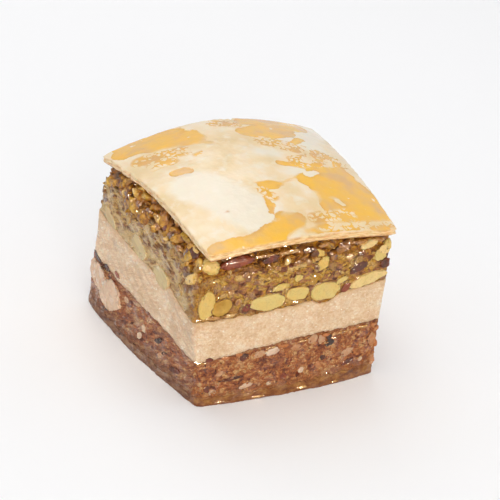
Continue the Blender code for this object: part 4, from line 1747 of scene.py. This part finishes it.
for row in range(side_rows + 1):
    rings.append((n + 1) ** 2 + row * rim_count + np.arange(rim_count))
for upper, lower in zip(rings, rings[1:]):
    faces += np.stack([upper, lower, np.roll(lower, -1), np.roll(upper, -1)], -1).tolist()
last = len(points) - 1
faces += [(int(a), last, int(b)) for a, b in zip(rings[-1], np.roll(rings[-1], -1))]


def glazed_phyllo():
    """Baked phyllo under syrup glaze: cream where dry, and clear amber where the syrup soaked in."""
    material, tree, shader, *read = new_material(
        "glazed_phyllo", "place", "wet", "lace", "milky", "edge", "leaf", "dragged"
    )
    place, wet, lace, milky, edge_on, leaf, dusty = read
    shift = add(
        tree, "ShaderNodeTexNoise", {"Vector": place, "Scale": 1 / (2.2 * MM), "Detail": 5.0, "Roughness": 0.6}
    ).outputs[0]
    edge = mixture(tree, (wet, 1.0), (shift, 1.6 * MM), (-0.5, 1.6 * MM))
    drift = add(tree, "ShaderNodeTexNoise", {"Vector": place, "Scale": 1 / (7.0 * MM), "Detail": 1.0})
    soft_edge = add(
        tree,
        "ShaderNodeMapRange",
        {"Value": drift.outputs[0], "From Min": 0.50, "From Max": 0.62, "To Min": 0.10 * MM, "To Max": 1.6 * MM},
    )
    pool = add(
        tree,
        "ShaderNodeMapRange",
        {"Value": edge, "From Min": -0.10 * MM, "From Max": soft_edge.outputs[0]},
        interpolation_type="SMOOTHSTEP",
    )
    shake = add(tree, "ShaderNodeTexNoise", {"Vector": place, "Scale": 1 / (0.9 * MM), "Detail": 4.0})
    shaken = add(
        tree,
        "ShaderNodeVectorMath",
        {0: shake.outputs["Color"], 1: (0.9 * MM,) * 3, 2: place},
        operation="MULTIPLY_ADD",
    )
    bubbles = add(
        tree,
        "ShaderNodeTexVoronoi",
        {"Vector": shaken.outputs[0], "Scale": 1 / (1.1 * MM)},
        feature="DISTANCE_TO_EDGE",
    )
    thread = add(
        tree,
        "ShaderNodeMapRange",
        {"Value": shift, "From Min": 0.42, "From Max": 0.62, "To Max": 0.34},
    )
    thread = mixture(tree, (thread.outputs[0], 1.0), (bubbles.outputs["Distance"], -1.0))
    laced = add(tree, "ShaderNodeMapRange", {"Value": thread, "From Min": -0.02, "From Max": 0.03})
    pool = add(
        tree, "ShaderNodeMix", {0: lace, 2: pool.outputs[0], 3: laced.outputs[0]}, data_type="FLOAT"
    ).outputs[0]
    clouds = add(
        tree, "ShaderNodeTexNoise", {"Vector": place, "Scale": 1 / (6.0 * MM), "Detail": 4.0}
    ).outputs[0]
    amber = add(
        tree,
        "ShaderNodeValToRGB",
        {0: clouds},
        stops=((0.38, "#e0b068"), (0.5, "#eeb84a"), (0.62, "#f4bb30")),
    ).outputs[0]
    amber = speckled(tree, amber, place, 2.6 * MM, 0.35, 0.20, "#f8e4bd")
    amber = speckled(tree, amber, place, 1.7 * MM, 0.12, 0.14, "#fdf3e0")
    amber = tinted(tree, amber, "#cf9438", edge, 0.7 * MM, 0.14 * MM, 0.35)
    cream = add(
        tree,
        "ShaderNodeValToRGB",
        {0: clouds},
        stops=((0.35, "#e2c590"), (0.5, "#ebd1a4"), (0.65, "#f0dcba")),
    ).outputs[0]
    # Whiter cream: the leaf's own opaque white and a painted sheen.
    cream = tinted(tree, cream, "#ebe0ca", mixture(tree, (milky, 1.0), (shift, 0.8)), 0.4, 1.1, 0.9)
    cream = tinted(tree, cream, "#f0e5d1", shift, 0.5, 0.75, 0.8)
    cream = speckled(tree, cream, place, 5.5 * MM, 0.25, 0.06, "#c79a63")
    glazed = add(tree, "ShaderNodeMix", {0: pool, 6: cream, 7: amber}, data_type="RGBA").outputs[2]
    around = add(tree, "ShaderNodeSeparateXYZ", {0: place})
    around = mixture(tree, (around.outputs["X"], 0.2), (around.outputs["Y"], -0.2))
    flat = add(tree, "ShaderNodeCombineXYZ", {"X": around, "Z": leaf}).outputs[0]
    leaves = add(
        tree, "ShaderNodeTexNoise", {"Vector": flat, "Scale": 1 / (0.45 * MM), "Detail": 4.0, "Roughness": 0.6}
    ).outputs[0]
    side = add(
        tree,
        "ShaderNodeValToRGB",
        {0: leaves},
        stops=((0.34, "#cb9452"), (0.44, "#dfb274"), (0.54, "#ecca94"), (0.66, "#f3dcb2")),
    ).outputs[0]
    papery = add(
        tree,
        "ShaderNodeValToRGB",
        {0: leaves},
        stops=((0.34, "#cf9a62"), (0.44, "#e4c090"), (0.54, "#eed4aa"), (0.66, "#f5e4c8")),
    ).outputs[0]
    side = add(tree, "ShaderNodeMix", {0: dusty, 6: side, 7: papery}, data_type="RGBA").outputs[2]
    sticky = mixture(tree, (leaf, 1.0), (shake.outputs[0], -1.6 * MM))
    side = tinted(tree, side, "#a8641c", sticky, 0.0, -0.55 * MM, 0.9)
    colour = add(tree, "ShaderNodeMix", {0: edge_on, 6: glazed, 7: side}, data_type="RGBA").outputs[2]
    gloss = add(tree, "ShaderNodeMapRange", {"Value": pool, "To Min": 0.32, "To Max": 0.16})
    gloss = add(tree, "ShaderNodeMix", {0: edge_on, 2: gloss.outputs[0], 3: 0.55}, data_type="FLOAT").outputs[0]
    sealed = add(tree, "ShaderNodeMapRange", {"Value": shake.outputs[0], "From Min": 0.52, "From Max": 0.6})
    sealed = add(
        tree, "ShaderNodeMix", {0: edge_on, 2: 0.6, 3: sealed.outputs[0]}, data_type="FLOAT"
    ).outputs[0]
    bump = add(tree, "ShaderNodeBump", {"Height": shift, "Strength": 0.5, "Distance": 0.25 * MM}).outputs[0]
    clear = {"Specular IOR Level": 0.25, "Subsurface Weight": 0.2, "Subsurface Scale": 1.2 * MM}
    coat = {"Coat Weight": sealed, "Coat Roughness": 0.06, "Coat Normal": bump}
    plug(tree, shader, {"Base Color": colour, "Roughness": gloss, "Normal": bump, **clear, **coat})
    return material


lid = new_object("glazed_lid", points, faces, glazed_phyllo())
rim_points = len(points) - (n + 1) ** 2
set_values(lid, "wet", np.append(wet.ravel(), np.full(rim_points, -0.5 * MM)))
set_values(lid, "edge", np.append(smoothstep(0.35 * MM, 0.0, from_rim).ravel(), np.ones(rim_points)))
milky = smoothstep(2.0 * MM, -2.0 * MM, nearest_line(x, y, MILKY_AND_SHEEN)).ravel()
set_values(lid, "milky", np.append(milky, np.zeros(rim_points)))
lace = smoothstep(0.5 * MM, -0.5 * MM, nearest_line(x, y, LACE)).ravel()
set_values(lid, "lace", np.append(lace, np.zeros(rim_points)))
rim_side = [atan2(point[1], point[0]) for point in points[(n + 1) ** 2 :]]
lid_side = np.append(np.arctan2(y, x).ravel(), rim_side) % tau
leaf = np.repeat(1 - np.arange(1, side_rows + 1) / side_rows, rim_count)
leaf = np.append(leaf, np.zeros(rim_count + 1))
set_values(lid, "leaf", np.append(np.ones((n + 1) ** 2), leaf) * 2.0 * MM)
set_values(lid, "dragged", np.interp(lid_side, np.append(turns, tau), np.append(on_left, on_left[0])))
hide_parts("top_pastry")
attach(lid, "root")

# Floor, light and camera
# A pale table in soft studio light from all round, with a broad lamp at the front left and small
# bright ones that only glint in the syrup.


def plain_floor():
    """Matt white card."""
    material, tree, shader = new_material("white_card")
    plug(tree, shader, {"Base Color": linear("#f6f6f6"), "Roughness": 0.9, "Specular IOR Level": 0.0})
    return material


FLOOR_SIZE = 3.0
half = FLOOR_SIZE / 2
floor = new_object(
    "floor",
    [(-half, -half, 0), (half, -half, 0), (half, half, 0), (-half, half, 0)],
    [(0, 1, 2, 3)],
    plain_floor(),
)

scene = bpy.context.scene
scene.view_settings.view_transform = "Standard"
world = bpy.data.worlds.new("studio")
world.use_nodes = True
world.node_tree.nodes["Background"].inputs["Color"].default_value = linear("#fdfdff")
world.node_tree.nodes["Background"].inputs["Strength"].default_value = 0.66
scene.world = world


def soft_lamp(name, place, size, watts, colour, lights=True, mirrored=True):
    """A square lamp that faces the food, and either lights it, is mirrored in what is wet, or both."""
    light = bpy.data.lights.new(name, "AREA")
    light.size = size
    light.energy = watts
    light.color = linear(colour)[:3]
    lamp = bpy.data.objects.new(name, light)
    lamp.location = place
    lamp.rotation_euler = (Vector(place) - Vector((0, 0, 0.015))).to_track_quat("Z", "Y").to_euler()
    lamp.visible_diffuse = lights
    lamp.visible_glossy = mirrored
    scene.collection.objects.link(lamp)


soft_lamp("overhead", (0.0, 0.0, 0.70), 0.60, 1.0, "#ffffff")
soft_lamp("behind", (0.02, 0.40, 0.55), 0.45, 0.8, "#ffffff")
soft_lamp("front", (-0.22, -0.60, 0.28), 0.35, 1.45, "#fffcf8", mirrored=False)
soft_lamp("glints", (-0.26, -0.52, 0.34), 0.11, 19.0, "#ffe9c8", lights=False)
soft_lamp("low_glints", (0.16, -0.62, 0.22), 0.09, 9.0, "#ffe9c8", lights=False)
soft_lamp("left_glints", (-0.58, -0.18, 0.42), 0.11, 12.0, "#ffe9c8", lights=False)

VIEW_AZIMUTH = radians(-30.93)
VIEW_ELEVATION = radians(27.18)
VIEW_ROLL = radians(7)
VIEW_DISTANCE = 252 * MM
VIEW_LENS = 98.6
AIM_RIGHT = 1.84 * MM
AIM_UP = 3.50 * MM
back = Vector(
    (
        sin(VIEW_AZIMUTH) * cos(VIEW_ELEVATION),
        -cos(VIEW_AZIMUTH) * cos(VIEW_ELEVATION),
        sin(VIEW_ELEVATION),
    )
)
target = Vector((-1.646, -0.244, 14.0)) * MM
level_right = Vector((cos(VIEW_AZIMUTH), sin(VIEW_AZIMUTH), 0))
level_up = back.cross(level_right)
right = level_right * cos(VIEW_ROLL) + level_up * sin(VIEW_ROLL)
up = level_up * cos(VIEW_ROLL) - level_right * sin(VIEW_ROLL)
aim = target + right * AIM_RIGHT + up * AIM_UP
camera_place = target + back * VIEW_DISTANCE
away = (camera_place - aim).normalized()
right = (right - away * right.dot(away)).normalized()
camera = bpy.data.objects.new("camera", bpy.data.cameras.new("camera"))
camera.data.lens = VIEW_LENS
camera.data.clip_start = 0.01
camera.matrix_world = Matrix.Translation(camera_place) @ Matrix(
    (right, away.cross(right), away)
).transposed().to_4x4()
scene.collection.objects.link(camera)
scene.camera = camera
